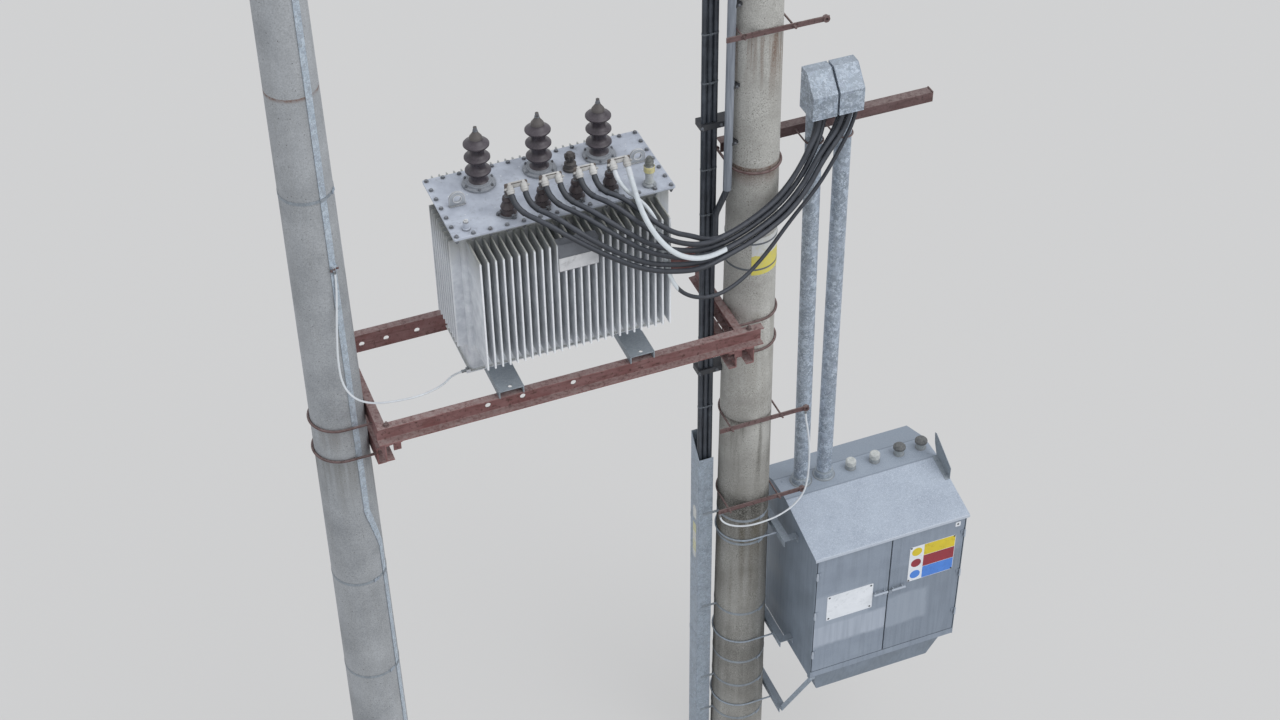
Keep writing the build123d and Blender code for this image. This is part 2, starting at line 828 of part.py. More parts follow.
def strip_band(z):
    # Band round the left pole that steps out over the earth strip.
    r = pole_radius(z - band_width / 2) + touch_gap
    wide = strip_width / 2 + 2 * touch_gap
    low = z - band_width / 2
    high = z + band_width / 2
    out = r + strip_t + 3 * touch_gap + strip_band_step
    turn = Pos(left_x, 0, 0) * Rot(0, 0, strip_angle_at(z))
    body = Pos(-left_x, 0, 0) * band(left_x, z)
    body -= box(0, out + cut_past, -wide, wide, low - cut_past, high + cut_past)
    step = box(r - cut_past, out + band_t, -wide - band_t, wide + band_t, low, high)
    step -= box(r - 2 * cut_past, out, -wide, wide, low - cut_past, high + cut_past)
    step -= Pos(0, 0, z) * Cylinder(r, 2 * band_width)
    return turn * (body + step)


def strip_angle_at(z):
    if z > strip_step_high:
        return strip_high_angle
    return strip_low_angle


def strip_run(z0, angle0, z1, angle1):
    # Straight piece of the strip between two places on the left pole.
    def place(z, angle):
        r = pole_radius(z) + 2 * touch_gap
        return Vector(left_x + r * cos(radians(angle)), r * sin(radians(angle)), z)

    start = place(z0, angle0)
    end = place(z1, angle1)
    middle = radians((angle0 + angle1) / 2)
    out = Vector(cos(middle), sin(middle), 0)
    along = (end - start).normalized()
    plane = Plane(origin=start, x_dir=along.cross(out), z_dir=along)
    side = 1 if plane.y_dir.dot(out) > 0 else -1
    sagitta = (1 - cos(radians(angle1 - angle0) / 2)) * pole_radius(z1)
    section = Pos(0, side * (strip_t / 2 + sagitta)) * Rectangle(strip_width, strip_t)
    return extrude(plane * section, (end - start).length, dir=along)


def earth_strip():
    # Flat strip down the left pole, stepping sideways once, with the clamp that holds the wire.
    pieces = [strip_run(strip_top_z, strip_high_angle, strip_step_high, strip_high_angle)]
    turn = (strip_low_angle - strip_high_angle) / strip_steps
    drop = (strip_step_high - strip_step_low) / strip_steps
    for k in range(strip_steps):
        z = strip_step_high - k * drop
        angle = strip_high_angle + k * turn
        pieces.append(strip_run(z, angle, z - drop, angle + turn))
    pieces.append(strip_run(strip_step_low, strip_low_angle, 0, strip_low_angle))
    r = pole_radius(strip_clamp_z + strip_clamp_h) + 2 * touch_gap
    half = strip_width / 2 - strip_t
    clamp = box(r + strip_t / 2, r + strip_t + strip_clamp_t, -half, half,
                strip_clamp_z, strip_clamp_z + strip_clamp_h)
    pieces.append(Pos(left_x, 0, 0) * Rot(0, 0, strip_high_angle) * clamp)
    return pieces


cabinet_right = cabinet_left + cabinet_width
cabinet_back_y = cabinet_front + cabinet_depth
cabinet_mid = (cabinet_left + cabinet_right) / 2
crease_front = cabinet_front + roof_front_crease
crease_back = crease_front + roof_strip
eave_back = cabinet_eave + roof_back_rise


# Underside of the roof sheet in the side view, from the front eave to the back one
roof_under = [
    (cabinet_front - roof_over + sheet_t, cabinet_eave - sheet_t),
    (crease_front, roof_ridge - sheet_t),
    (crease_back, roof_ridge - sheet_t),
    (cabinet_back_y + roof_over - sheet_t, eave_back - sheet_t),
]


def gable_top(y):
    # Height of the roof's underside at a place in the side view.
    for (y0, z0), (y1, z1) in zip(roof_under, roof_under[1:]):
        if y0 <= y <= y1:
            return z0 + (z1 - z0) * (y - y0) / (y1 - y0)


def cabinet_side(x):
    ridge = roof_ridge - sheet_t - touch_gap
    points = [(cabinet_front, cabinet_bottom), (cabinet_back_y, cabinet_bottom),
              (cabinet_back_y, gable_top(cabinet_back_y) - touch_gap), (crease_back, ridge),
              (crease_front, ridge), (cabinet_front, gable_top(cabinet_front) - touch_gap)]
    return extrude_x(points, x, sheet_t)


def cabinet_back():
    return box(cabinet_left + sheet_t, cabinet_right - sheet_t, cabinet_back_y - sheet_t, cabinet_back_y,
               cabinet_bottom + sheet_t, gable_top(cabinet_back_y) - touch_gap)


def cabinet_roof():
    # One folded sheet: front slope, flat strip, back slope, and a lip down at each eave.
    y0 = cabinet_front - roof_over
    y1 = cabinet_back_y + roof_over
    outline = [(y0, cabinet_eave - roof_lip), (y0, cabinet_eave), (crease_front, roof_ridge),
               (crease_back, roof_ridge), (y1, eave_back), (y1, eave_back - roof_lip),
               (y1 - sheet_t, eave_back - roof_lip)]
    outline += roof_under[::-1]
    outline.append((y0 + sheet_t, cabinet_eave - roof_lip))
    roof = extrude_x(outline, cabinet_left - roof_over, cabinet_width + 2 * roof_over)
    for x in (left_conduit_foot_x, right_conduit_foot_x):
        roof -= Pos(x, conduit_y, roof_ridge) * Cylinder(conduit_d / 2 - conduit_wall, 4 * sheet_t)
    return roof


def roof_stub(x):
    # Short pipe through the roof with a cap.
    r = stub_d / 2
    cap = stub_cap_d / 2
    top = stub_height + stub_cap_h
    body = turned([(0, 0), (r, 0), (r, stub_height), (cap, stub_height), (cap, stub_height + stub_cap_edge),
                   (cap - stub_cap_taper, top), (0, top)])
    return Pos(x, stub_y, roof_ridge) * body


def roof_stub_plain(x):
    # Low stub closed by a plain push-on cap.
    r = stub_d / 2
    cap = r + plain_cap_over
    body = turned([(0, 0), (r, 0), (r, plain_stub_shoulder), (cap, plain_stub_shoulder), (cap, plain_cap_side),
                   (r, plain_stub_height), (0, plain_stub_height)])
    return Pos(x, stub_y, roof_ridge) * body


def cabinet_base():
    # Floor sheet and the tapered, open-bottomed skirt below it.
    floor = box(cabinet_left + sheet_t, cabinet_right - sheet_t, cabinet_front + sheet_t,
                cabinet_back_y - sheet_t, cabinet_bottom, cabinet_bottom + sheet_t)

    def taper(inset):
        centre_y = (cabinet_front + cabinet_back_y) / 2
        top_in = 2 * (hopper_top_inset + inset)
        low_in = 2 * (hopper_inset + inset)
        wide = Rectangle(cabinet_width - top_in, cabinet_depth - top_in)
        narrow = Rectangle(cabinet_width - low_in, cabinet_depth - low_in)
        return loft([Pos(cabinet_mid, centre_y, cabinet_bottom) * wide,
                     Pos(cabinet_mid, centre_y, cabinet_bottom - hopper_drop) * narrow])

    skirt = taper(0) - taper(sheet_t)
    return floor + skirt


def front_frame():
    # Sill, header and the flat ring that the doors close against.
    x0 = cabinet_left + sheet_t
    x1 = cabinet_right - sheet_t
    stop_y = cabinet_front + door_t + door_play
    sill_top = door_bottom - door_play
    head_low = door_top + door_play
    head_top = gable_top(cabinet_front) - hole_play
    frame = box(x0, x1, stop_y, stop_y + sheet_t, cabinet_bottom + sheet_t, head_top)
    frame -= box(x0 + frame_bar, x1 - frame_bar, stop_y - cut_past, stop_y + sheet_t + cut_past,
                 sill_top + frame_bar, head_low - frame_bar)
    frame += box(x0, x1, cabinet_front, cabinet_front + sheet_t, cabinet_bottom + sheet_t, sill_top)
    frame += box(x0, x1, cabinet_front, stop_y, sill_top - sheet_t, sill_top)
    frame += box(x0, x1, cabinet_front, cabinet_front + sheet_t, head_low, head_top)
    frame += box(x0, x1, cabinet_front, stop_y, head_low, head_low + sheet_t)
    for side in (-1, 1):
        for z in hinge_z:
            frame += hinge_half(side, z, -1)
    return frame


def hinge_half(side, z, part):
    # Lift-off hinge: the lower half on the cabinet, the upper half on the door.
    x = hinge_x(side)
    y = hinge_y
    half = hinge_length / 2
    z0 = z - half if part < 0 else z + touch_gap
    z1 = z if part < 0 else z + half
    barrel = Pos(x, y, (z0 + z1) / 2) * Cylinder(hinge_d / 2, z1 - z0)
    if part < 0:
        edge = cabinet_left if side < 0 else cabinet_right
        leaf = box(min(x, edge), max(x, edge), y, cabinet_front, z0, z1)
        inside = edge - side * sheet_t
        root = inside - side * hinge_root
        bridge = box(min(edge, root), max(edge, root), cabinet_front - hinge_root, cabinet_front, z0, z1)
        joined = box(min(inside, root), max(inside, root), cabinet_front - hinge_root,
                     cabinet_front + door_t + door_play + sheet_t / 2, z0, z1)
        return barrel + leaf + bridge + joined
    inner = x - side * hinge_leaf
    leaf = box(min(x, inner), max(x, inner), cabinet_front - hinge_root, cabinet_front, z0, z1)
    return barrel + leaf


def hinge_x(side):
    return cabinet_left + hinge_d / 2 if side < 0 else cabinet_right - hinge_d / 2


hinge_y = cabinet_front - hinge_d / 2 - hinge_stand


def door(side):
    # Folded pan with its open side inwards, hinges at the outer edge and a handle by the gap.
    outer = cabinet_left + sheet_t + door_play if side < 0 else cabinet_right - sheet_t - door_play
    inner = cabinet_mid + side * door_gap / 2
    x0 = min(outer, inner)
    x1 = max(outer, inner)
    pan = box(x0, x1, cabinet_front, cabinet_front + door_t, door_bottom, door_top)
    pan -= box(x0 + door_sheet, x1 - door_sheet, cabinet_front + door_sheet, cabinet_front + door_t + cut_past,
               door_bottom + door_sheet, door_top - door_sheet)
    for z in hinge_z:
        pan += hinge_half(side, z, 1)
    near = cabinet_mid + side * (door_gap / 2 + handle_from_gap)
    far = near + side * handle_length
    y = cabinet_front - handle_stand
    pan += rod((near, y, handle_z), (far, y, handle_z), handle_d)
    for x in (near + side * handle_d, far - side * handle_d):
        pan += rod((x, cabinet_front + door_sheet / 2, handle_z), (x, y, handle_z), handle_post_d)
    hasp_x = cabinet_mid + side * (door_gap / 2 + hasp_width / 4)
    hasp = Box(hasp_width / 2 - hasp_gap, hasp_t, hasp_height)
    return pan + Pos(hasp_x, cabinet_front - hasp_t / 2, handle_z - hasp_drop) * hasp


def angle_along_y(x0, y0, y1, top):
    # Equal angle with its upright leg against the pole and its level leg on top.
    body = box(x0, x0 + arm_t, y0, y1, top - arm_leg, top)
    return body + box(x0, x0 + arm_leg, y0, y1, top - arm_t, top)


def cabinet_arm(z):
    # Arm across the pole's side with two links to the cabinet's wall.
    x0 = pole_radius(z - arm_leg) + touch_gap
    arm = angle_along_y(x0, -arm_half, arm_half, z)
    for side in (-1, 1):
        y0 = side * (arm_half - arm_leg / 2) - arm_leg / 2
        arm += box(x0, cabinet_left, y0, y0 + arm_leg, z - arm_t, z)
        arm += box(cabinet_left - arm_t, cabinet_left, y0, y0 + arm_leg, z - arm_leg, z)
    bolt_z = z - arm_leg / 2
    for side in (-1, 1):
        y = side * arm_rod_y(bolt_z)
        arm -= rod((x0 - cut_past, y, bolt_z), (x0 + arm_t + cut_past, y, bolt_z),
                   bar_rod_d + 2 * hole_play)
    return arm


def arm_rod_y(z):
    return pole_radius(z - bar_rod_d) + touch_gap + bar_rod_d / 2


def arm_rod(z):
    # Rod bent round the pole's far side, its legs through the arm.
    reach = pole_radius(z - arm_leg) + touch_gap + arm_t + bar_rod_past
    return bent_rod(0, z - arm_leg / 2, 1, reach, bar_rod_d, touch_gap)


def strut(side):
    # Angle from the end of the low arm up to a pad under the cabinet's bottom corner.
    x0 = pole_radius(lower_arm_z - arm_leg) + touch_gap
    edge_y = cabinet_front if side < 0 else cabinet_back_y
    start = Vector(x0 + arm_leg / 2, side * (low_arm_half - arm_leg / 2), lower_arm_z - arm_leg / 2)
    end = Vector(cabinet_left + strut_inset, edge_y - side * strut_inset, cabinet_bottom - strut_pad_t)
    along = (end - start).normalized()
    plane = Plane(origin=start, x_dir=along.cross(Vector(0, 0, 1)).normalized(), z_dir=along)
    section = Rectangle(strut_leg, arm_t)
    section += Pos((strut_leg - arm_t) / 2, strut_leg / 2) * Rectangle(arm_t, strut_leg)
    bar = extrude(plane * section, (end - start).length - strut_leg / 2, dir=along)
    pad = box(end.X - strut_pad / 2, end.X + strut_pad / 2, end.Y - strut_pad / 2, end.Y + strut_pad / 2,
              end.Z - 3 * strut_pad_t, cabinet_bottom)
    return bar + pad


def low_arm():
    x0 = pole_radius(lower_arm_z - arm_leg) + touch_gap
    arm = angle_along_y(x0, -low_arm_half, low_arm_half, lower_arm_z)
    bolt_z = lower_arm_z - arm_leg / 2
    for side in (-1, 1):
        y = side * arm_rod_y(bolt_z)
        arm -= rod((x0 - cut_past, y, bolt_z), (x0 + arm_t + cut_past, y, bolt_z),
                   bar_rod_d + 2 * hole_play)
    return arm + strut(-1) + strut(1)


def cord(points, diameter, name):
    # Tube of straight runs and tangent arcs along the points; prints the tightest arc.
    vectors = [Vector(*p) for p in points]
    radii = []
    for a, b, c in zip(vectors, vectors[1:], vectors[2:]):
        turn = radians((b - a).get_angle(c - b))
        shorter = min((b - a).length, (c - b).length)
        radii.append(0.45 * shorter / max(sin(turn / 2) / cos(turn / 2), 0.001))
    path = FilletPolyline(*vectors, radius=radii)
    section = Plane(origin=path @ 0, z_dir=path % 0) * Circle(diameter / 2)
    tube = sweep(section, path=path)
    expected = pi * diameter ** 2 / 4 * path.length
    print(name, "length", round(path.length), "tightest arc", round(min(radii)),
          "volume ratio", round(tube.volume / expected, 4))
    write(tube, name)


# Cable routes, from the terminals round the pole to the hoods, and the thin wires
bundle = [((-330, -350, 4900), (0, 23, 27), (0, 27, -23)),
          ((-130, -305, 4930), (-4, 23, 27), (0, 27, -23)),
          ((80, -245, 4995), (-12, 21, 26), (0, 27, -22)),
          ((225, -190, 5100), (-22, 15, 24), (10, 25, -22))]
bundle_turn = (335, -145, 5240)
bond_end_y = -(pole_radius(bar_z[0] - bar_height) + touch_gap + bar_t / 2)
clamp_reach = pole_radius(strip_clamp_z) + 2 * touch_gap + strip_t + strip_clamp_t / 2
clamp_x = left_x + clamp_reach * cos(radians(strip_high_angle))
clamp_y = clamp_reach * sin(radians(strip_high_angle))
boss_x = tank_centre_x - tank_length / 2 - base_plate_rim - earth_boss_length - touch_gap
boss_y = -tank_width / 2
boss_z = platform_top + skid_height + earth_boss_height / 2
terminal_z = lid_top + lv_height + lug_bar_lift - lug_bar_height / 2 - lug_reach
terminal_y = lv_row_y - lug_reach


def group(name, pieces):
    write(Compound(children=list(pieces)), name)


def poles():
    write(concrete_pole(left_x), "left_pole")
    write(concrete_pole(right_x), "right_pole")


def platform():
    cleats = beam_cleat(left_x, 1) + beam_cleat(right_x, -1)
    write(beam(-1, front_web_holes) + cleats, "front_beam")
    write(beam(1, back_web_holes), "back_beam")
    sides = (("left", left_x, 1), ("right", right_x, -1))
    for name, x, inward in sides:
        write(cross_channel(x, inward, cross_low, beam_tip_y), name + "_cross_channel")
    group("lower_channels", [cross_channel(x, inward, lower_cross_low, lower_channel_length / 2)
                             for name, x, inward in sides])
    group("platform_ubolts", [bolt for name, x, inward in sides for bolt in platform_ubolts(x, inward)])


def transformer():
    write(skid(skid_centre_x - skid_pitch / 2), "left_skid")
    write(skid(skid_centre_x + skid_pitch / 2), "right_skid")
    write(tank(), "tank")
    write(long_fins(-1), "front_fins")
    write(long_fins(1), "back_fins")
    group("end_fins", [end_fins(-1), end_fins(1)])
    write(lid(), "lid")
    for k in range(3):
        write(hv_bushing(tank_centre_x + (k - 1) * hv_pitch), "hv_bushing_" + str(k + 1))
    for k in range(4):
        write(lv_bushing(tank_centre_x + (k - 1.5) * lv_pitch), "lv_bushing_" + str(k + 1))
    group("lifting_lugs", lifting_lugs())
    write(oil_gauge(), "oil_gauge")
    write(tap_changer(), "tap_changer")
    write(nameplate_bracket(), "nameplate_bracket")


def conduits():
    write(conduit_beam(), "conduit_beam")
    places = (("left", left_hood_x, left_conduit_top_x, left_conduit_foot_x),
              ("right", right_hood_x, right_conduit_top_x, right_conduit_foot_x))
    for name, hood_x, top_x, foot_x in places:
        write(conduit(top_x, foot_x), name + "_conduit")
        write(hood(hood_x, top_x, foot_x), name + "_hood")
    clamps = [conduit_clamp(top_x, foot_x) for name, hood_x, top_x, foot_x in places]
    group("conduit_clamps", clamps + [conduit_ubolt()])


def riser():
    group("riser_cables", riser_cables())
    group("riser_pipe", riser_pipe())
    saddles = [pipe_saddle(z) for z in pipe_saddle_z]
    group("riser_clamps", [riser_clamp(z) for z in riser_clamp_z] + saddles)
    write(cable_guard(), "cable_guard")


def pole_fittings():
    group("support_bars", [support_bar(z) for z in bar_z] + [bar_rod(z) for z in bar_z])
    bands = [strip_band(z) for z in left_band_z] + [band(right_x, z) for z in right_band_z]
    group("pole_bands", bands + [guard_band(z) for z in guard_band_z])
    group("earth_strip", [sum_of(earth_strip())])


def sum_of(pieces):
    total = pieces[0]
    for piece in pieces[1:]:
        total += piece
    return total


def cabinet():
    write(cabinet_back(), "cabinet_back")
    write(cabinet_side(cabinet_left), "cabinet_left_side")
    write(cabinet_side(cabinet_right - sheet_t), "cabinet_right_side")
    write(cabinet_base(), "cabinet_base")
    write(front_frame(), "cabinet_front_frame")
    write(cabinet_roof(), "cabinet_roof")
    group("roof_stubs", [roof_stub(x) for x in stub_x] + [roof_stub_plain(x) for x in plain_stub_x])
    write(door(-1), "left_door")
    write(door(1), "right_door")
    arms = [cabinet_arm(z) for z in arm_z] + [low_arm()]
    rods = [arm_rod(z) for z in arm_z + (lower_arm_z,)]
    group("cabinet_brackets", arms + rods)


def terminal(number, side):
    # Where a cable leaves its lug, and the next point straight out of it.
    x = tank_centre_x + (number - 2.5) * lv_pitch + lug_bar_shift + side * lug_pitch / 2
    return [(x, terminal_y - touch_gap, terminal_z - touch_gap),
            (x, terminal_y - terminal_run, terminal_z - terminal_run)]


def lane(station, across, deep):
    # A cable's place in the bundle at one station.
    centre, up, back = station
    return tuple(c + across * u + deep * b for c, u, b in zip(centre, up, back))


def hood_end(slot_x, slot_y):
    return [(slot_x, slot_y, hood_mouth_z - hood_run), (slot_x, slot_y, hood_plate_z - touch_gap)]


def bundled(number, side, own, across, deep, slot_x, slot_y):
    shared = [lane(station, across, deep) for station in bundle]
    last = tuple(t + s - c for t, s, c in zip(bundle_turn, shared[-1], bundle[-1][0]))
    return terminal(number, side) + own + shared + [last] + hood_end(slot_x, slot_y)


poles()
platform()
transformer()
conduits()
riser()
pole_fittings()
cabinet()
cord(bundled(1, -1, [(-1411, -400, 5418), (-1275, -490, 5327), (-1081, -535, 5178), (-890, -540, 5041),
                     (-690, -505, 4941), (-502, -436, 4855)], -1.5, -0.5, 576, -79), cable_d, "cable_1a")
cord(bundled(1, 1, [(-1347, -400, 5440), (-1236, -495, 5356), (-1067, -530, 5215), (-880, -530, 5076),
                    (-701, -502, 4990), (-498, -398, 4870)], -1.5, 0.5, 576, -44), cable_d, "cable_1b")
cord(bundled(2, -1, [(-1193, -400, 5409), (-1076, -500, 5330), (-904, -535, 5181), (-744, -520, 5074),
                     (-541, -425, 4938)], -0.5, 0.5, 526, -44), cable_d, "cable_2a")
cord(bundled(2, 1, [(-1140, -400, 5425), (-1035, -500, 5356), (-878, -530, 5218), (-723, -512, 5111),
                    (-514, -405, 4966)], 0.5, 0.5, 424, -44), cable_d, "cable_2b")
cord(bundled(3, -1, [(-1024, -400, 5442), (-912, -500, 5348), (-774, -520, 5215), (-613, -465, 5084),
                     (-464, -400, 4997)], 1.5, -0.5, 378, -79), cable_d, "cable_3a")
cord(bundled(3, 1, [(-957, -380, 5451), (-873, -432, 5371), (-791, -490, 5295), (-703, -508, 5221),
                    (-569, -428, 5106), (-440, -345, 4980)], 1.5, 0.5, 378, -44), cable_d, "cable_3b")
cord(terminal(4, -1) + [(-843, -372, 5386), (-806, -440, 5340), (-773, -474, 5238), (-744, -474, 5076),
                        (-720, -474, 4905), (-649, -450, 4750), (-530, -405, 4628), (-383, -370, 4568),
                        (-214, -330, 4594), (-41, -280, 4692), (161, -215, 4873), (333, -165, 5000),
                        (460, -125, 5146)] + hood_end(622, -62), thin_cable_d, "cable_4a")
cord(bundled(4, 1, [(-885, -434, 5440), (-884, -540, 5391), (-831, -590, 5275), (-733, -595, 5146),
                    (-606, -550, 5041), (-477, -475, 4962)], -0.5, -0.5, 526, -79), cable_d, "cable_4b")
cord([(clamp_x, clamp_y, strip_clamp_z - touch_gap), (clamp_x, clamp_y, 5140), (-2556, -176, 4985),
      (-2578, -196, 4820), (-2592, -206, 4655), (-2588, -220, 4500), (-2540, -252, 4405), (-2450, -290, 4368),
      (-2320, -330, 4376), (-2170, -332, 4370), (-2030, -285, 4362), (boss_x - 75, boss_y, boss_z),
      (boss_x, boss_y, boss_z)], wire_d, "earth_wire")
cord([(bar_right - bar_eye_d / 2, -171, bar_z[1] - bar_eye_d / 2 - touch_gap),
      (bar_right - bar_eye_d / 2, -171, 3200), (362, -180, 3105), (376, -187, 2970), (381, -190, 2830),
      (376, -195, 2700), (345, -225, 2590), (255, -252, 2515), (152, -267, 2482), (60, -272, 2470),
      (-40, -266, 2460), (-120, -245, 2455), (-185, -214, 2462), (-225, -190, 2484),
      (-240, bond_end_y, 2515), (-240, bond_end_y, bar_z[0] - bar_height / 2 - touch_gap)], wire_d, "bond_wire")
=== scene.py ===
import math
import random

import bmesh
import bpy
from mathutils import Matrix, Quaternion, Vector


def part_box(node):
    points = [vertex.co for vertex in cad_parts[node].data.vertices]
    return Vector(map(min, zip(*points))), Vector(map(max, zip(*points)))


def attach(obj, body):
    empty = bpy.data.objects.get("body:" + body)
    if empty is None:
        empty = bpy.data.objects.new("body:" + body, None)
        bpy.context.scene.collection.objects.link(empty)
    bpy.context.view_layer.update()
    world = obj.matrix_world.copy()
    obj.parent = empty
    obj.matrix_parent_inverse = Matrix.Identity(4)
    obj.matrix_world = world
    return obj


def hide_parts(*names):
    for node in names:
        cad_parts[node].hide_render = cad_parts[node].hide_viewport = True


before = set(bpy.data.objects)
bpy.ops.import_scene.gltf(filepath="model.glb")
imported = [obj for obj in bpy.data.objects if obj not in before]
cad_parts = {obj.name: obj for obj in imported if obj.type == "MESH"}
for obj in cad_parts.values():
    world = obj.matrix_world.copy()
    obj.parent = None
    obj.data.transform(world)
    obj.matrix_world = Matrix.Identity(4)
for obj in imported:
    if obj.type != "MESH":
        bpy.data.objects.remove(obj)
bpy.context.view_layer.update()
random.seed(7)


# The two poles are spun concrete: cement slung against the inside of a long tapered steel mould.
# The surface is grey to beige, with fine sand, small air pits, dark runs of algae below whatever drips
# on it, and brown runs below rusty steel.
def linear(code):
    parts = [int(code[k:k + 2], 16) / 255 for k in (1, 3, 5)]
    return [c / 12.92 if c <= 0.04045 else ((c + 0.055) / 1.055) ** 2.4 for c in parts] + [1.0]


def per(size_mm):
    return 1000 / size_mm


def adder(tree):
    # Gives the one function that adds a node. An input takes a number, a hex colour, a socket, a node's
    # first output, or a pattern with the limits that it is drawn between. A texture that is told nothing
    # else follows the object's own places.
    tree.nodes.clear()

    def add(kind, inputs=(), stops=(), **settings):
        made = tree.nodes.new("ShaderNode" + kind)
        for name, value in settings.items():
            setattr(made, name, value)
        for _ in stops[2:]:
            made.color_ramp.elements.new(0.5)
        for k, (position, code) in enumerate(stops):
            made.color_ramp.elements[k].position = position
            made.color_ramp.elements[k].color = linear(code)
        for name, value in inputs.items() if isinstance(inputs, dict) else enumerate(inputs):
            if isinstance(value, tuple) and isinstance(value[0], (bpy.types.Node, bpy.types.NodeSocket)):
                value = add("MapRange", value)
            if isinstance(value, bpy.types.Node):
                value = next(socket for socket in value.outputs if socket.enabled)
            if isinstance(value, bpy.types.NodeSocket):
                tree.links.new(value, made.inputs[name])
            else:
                made.inputs[name].default_value = linear(value) if isinstance(value, str) else value
        place = made.inputs.get("Vector")
        if place and place.enabled and not place.is_linked:
            where = tree.nodes.get("Texture Coordinate") or tree.nodes.new("ShaderNodeTexCoord")
            tree.links.new(where.outputs["Object"], place)
        return made

    return add


def material(name):
    made = bpy.data.materials.new(name)
    made.use_nodes = True
    return made, adder(made.node_tree)


def laid(add, base, *films):
    # Films of other colours over the base, each as thick as its pattern is strong.
    for code, pattern in films:
        base = add("Mix", {0: pattern, 6: base, 7: code}, data_type="RGBA")
    return base


def shared(add, *parts):
    # The part of the surface where several patterns hold at once.
    whole = parts[0]
    for part in parts[1:]:
        whole = add("Math", [whole, part], operation="MULTIPLY")
    return whole


def facing_up(add):
    return add("SeparateXYZ", [add("NewGeometry").outputs["Normal"]]).outputs["Z"]


def shade(add, base, roughness, relief, depth_mm, more):
    # The finished surface: its colour, its roughness and its relief in millimetres.
    bump = add("Bump", {"Height": relief, "Strength": 1, "Distance": depth_mm / 1000})
    shader = add("BsdfPrincipled", {"Base Color": base, "Roughness": roughness, "Normal": bump, **more})
    add("OutputMaterial", [shader])


def spun_concrete(name, pale, dark, algae, runs):
    made, add = material(name)
    height = add("SeparateXYZ").outputs["Z"]
    sand = add("TexNoise", {"Scale": per(9), "Detail": 5})
    cloud = add("TexNoise", {"Scale": per(260), "Detail": 4, "Roughness": 0.6})
    tall = add("Mapping", {"Scale": (1, 1, 0.06)})
    streak = add("TexNoise", {"Vector": tall, "Scale": per(55), "Detail": 4})
    base = add("ValToRGB", [cloud], [(0.3, dark), (0.62, pale)])
    grain = add("ValToRGB", [sand], [(0.3, "#8f8f8f"), (0.7, "#d2d2d2")])
    base = add("Mix", {0: 0.55, 6: base, 7: grain}, data_type="RGBA", blend_type="SOFT_LIGHT")
    washed = add("ValToRGB", [streak], [(0.42, "#000000"), (0.7, "#5a5a5a")])
    base = laid(add, base, ("#6f6b60", washed))
    # Black algae grows in specks of a few millimetres, thickest where the concrete stays damp.
    damp = add("TexNoise", {"Scale": per(130), "Detail": 3})
    fleck = add("TexNoise", {"Scale": per(6), "Detail": 5, "Roughness": 0.7})
    fleck = shared(add, (fleck, 0.5, 0.66), (damp, 0.36, 0.66, 0.25, algae))
    pit = add("ValToRGB", [add("TexVoronoi", {"Scale": per(34)})], [(0.05, "#ffffff"), (0.1, "#000000")])
    base = laid(add, base, ("#4d4a41", fleck), ("#4b473f", pit))
    for top, length, code, strength, low, high, edge in runs:
        # A run starts at its steel, or at a soft upper edge, and fades downwards, broken into tongues.
        fade = add("MapRange", [height, top - length, top, 0, strength], interpolation_type="SMOOTHSTEP")
        part = shared(add, fade, (height, top + edge, top - edge), (streak, low, high),
                      (sand, 0.3, 0.62, 0.35, 1))
        base = laid(add, base, (code, part))
    relief = add("Math", [sand, pit], operation="SUBTRACT")
    shade(add, base, 0.92, relief, 0.8, {"IOR": 1.5})
    return made


def dress(made, *nodes):
    for name in nodes:
        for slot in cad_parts[name].material_slots:
            slot.material = made


# Each run: its top and length in metres, colour, strength, the tongues' limits and its upper edge.
dress(spun_concrete("spun concrete, left", "#a8abae", "#919497", 0.5, [
    (6.36, 0.03, "#6b4c3c", 1.0, 0.3, 0.5, 0.002), (3.86, 0.5, "#6a6964", 0.8, 0.35, 0.6, 0.02),
    (4.1, 0.25, "#75706a", 0.6, 0.4, 0.6, 0.005)]), "left_pole")
dress(spun_concrete("spun concrete, right", "#bcbbb6", "#96948f", 1.0, [
    (6.11, 0.5, "#654a37", 1.0, 0.45, 0.58, 0.005), (5.235, 0.16, "#5d4234", 1.0, 0.2, 0.5, 0.004),
    (4.17, 0.9, "#6f6858", 0.35, 0.42, 0.62, 0.01), (2.95, 3.4, "#57554f", 0.7, 0.0, 0.3, 0.45),
    (3.26, 0.8, "#3a382f", 0.9, 0.5, 0.66, 0.012), (3.28, 0.05, "#33291f", 1.0, 0.3, 0.55, 0.005),
    (2.6, 0.6, "#33312c", 1.0, 0.15, 0.5, 0.06), (2.4, 1.3, "#524a3a", 0.75, 0.4, 0.62, 0.05),
    (1.35, 1.9, "#4a4843", 0.75, 0.1, 0.5, 0.25)]), "right_pole")


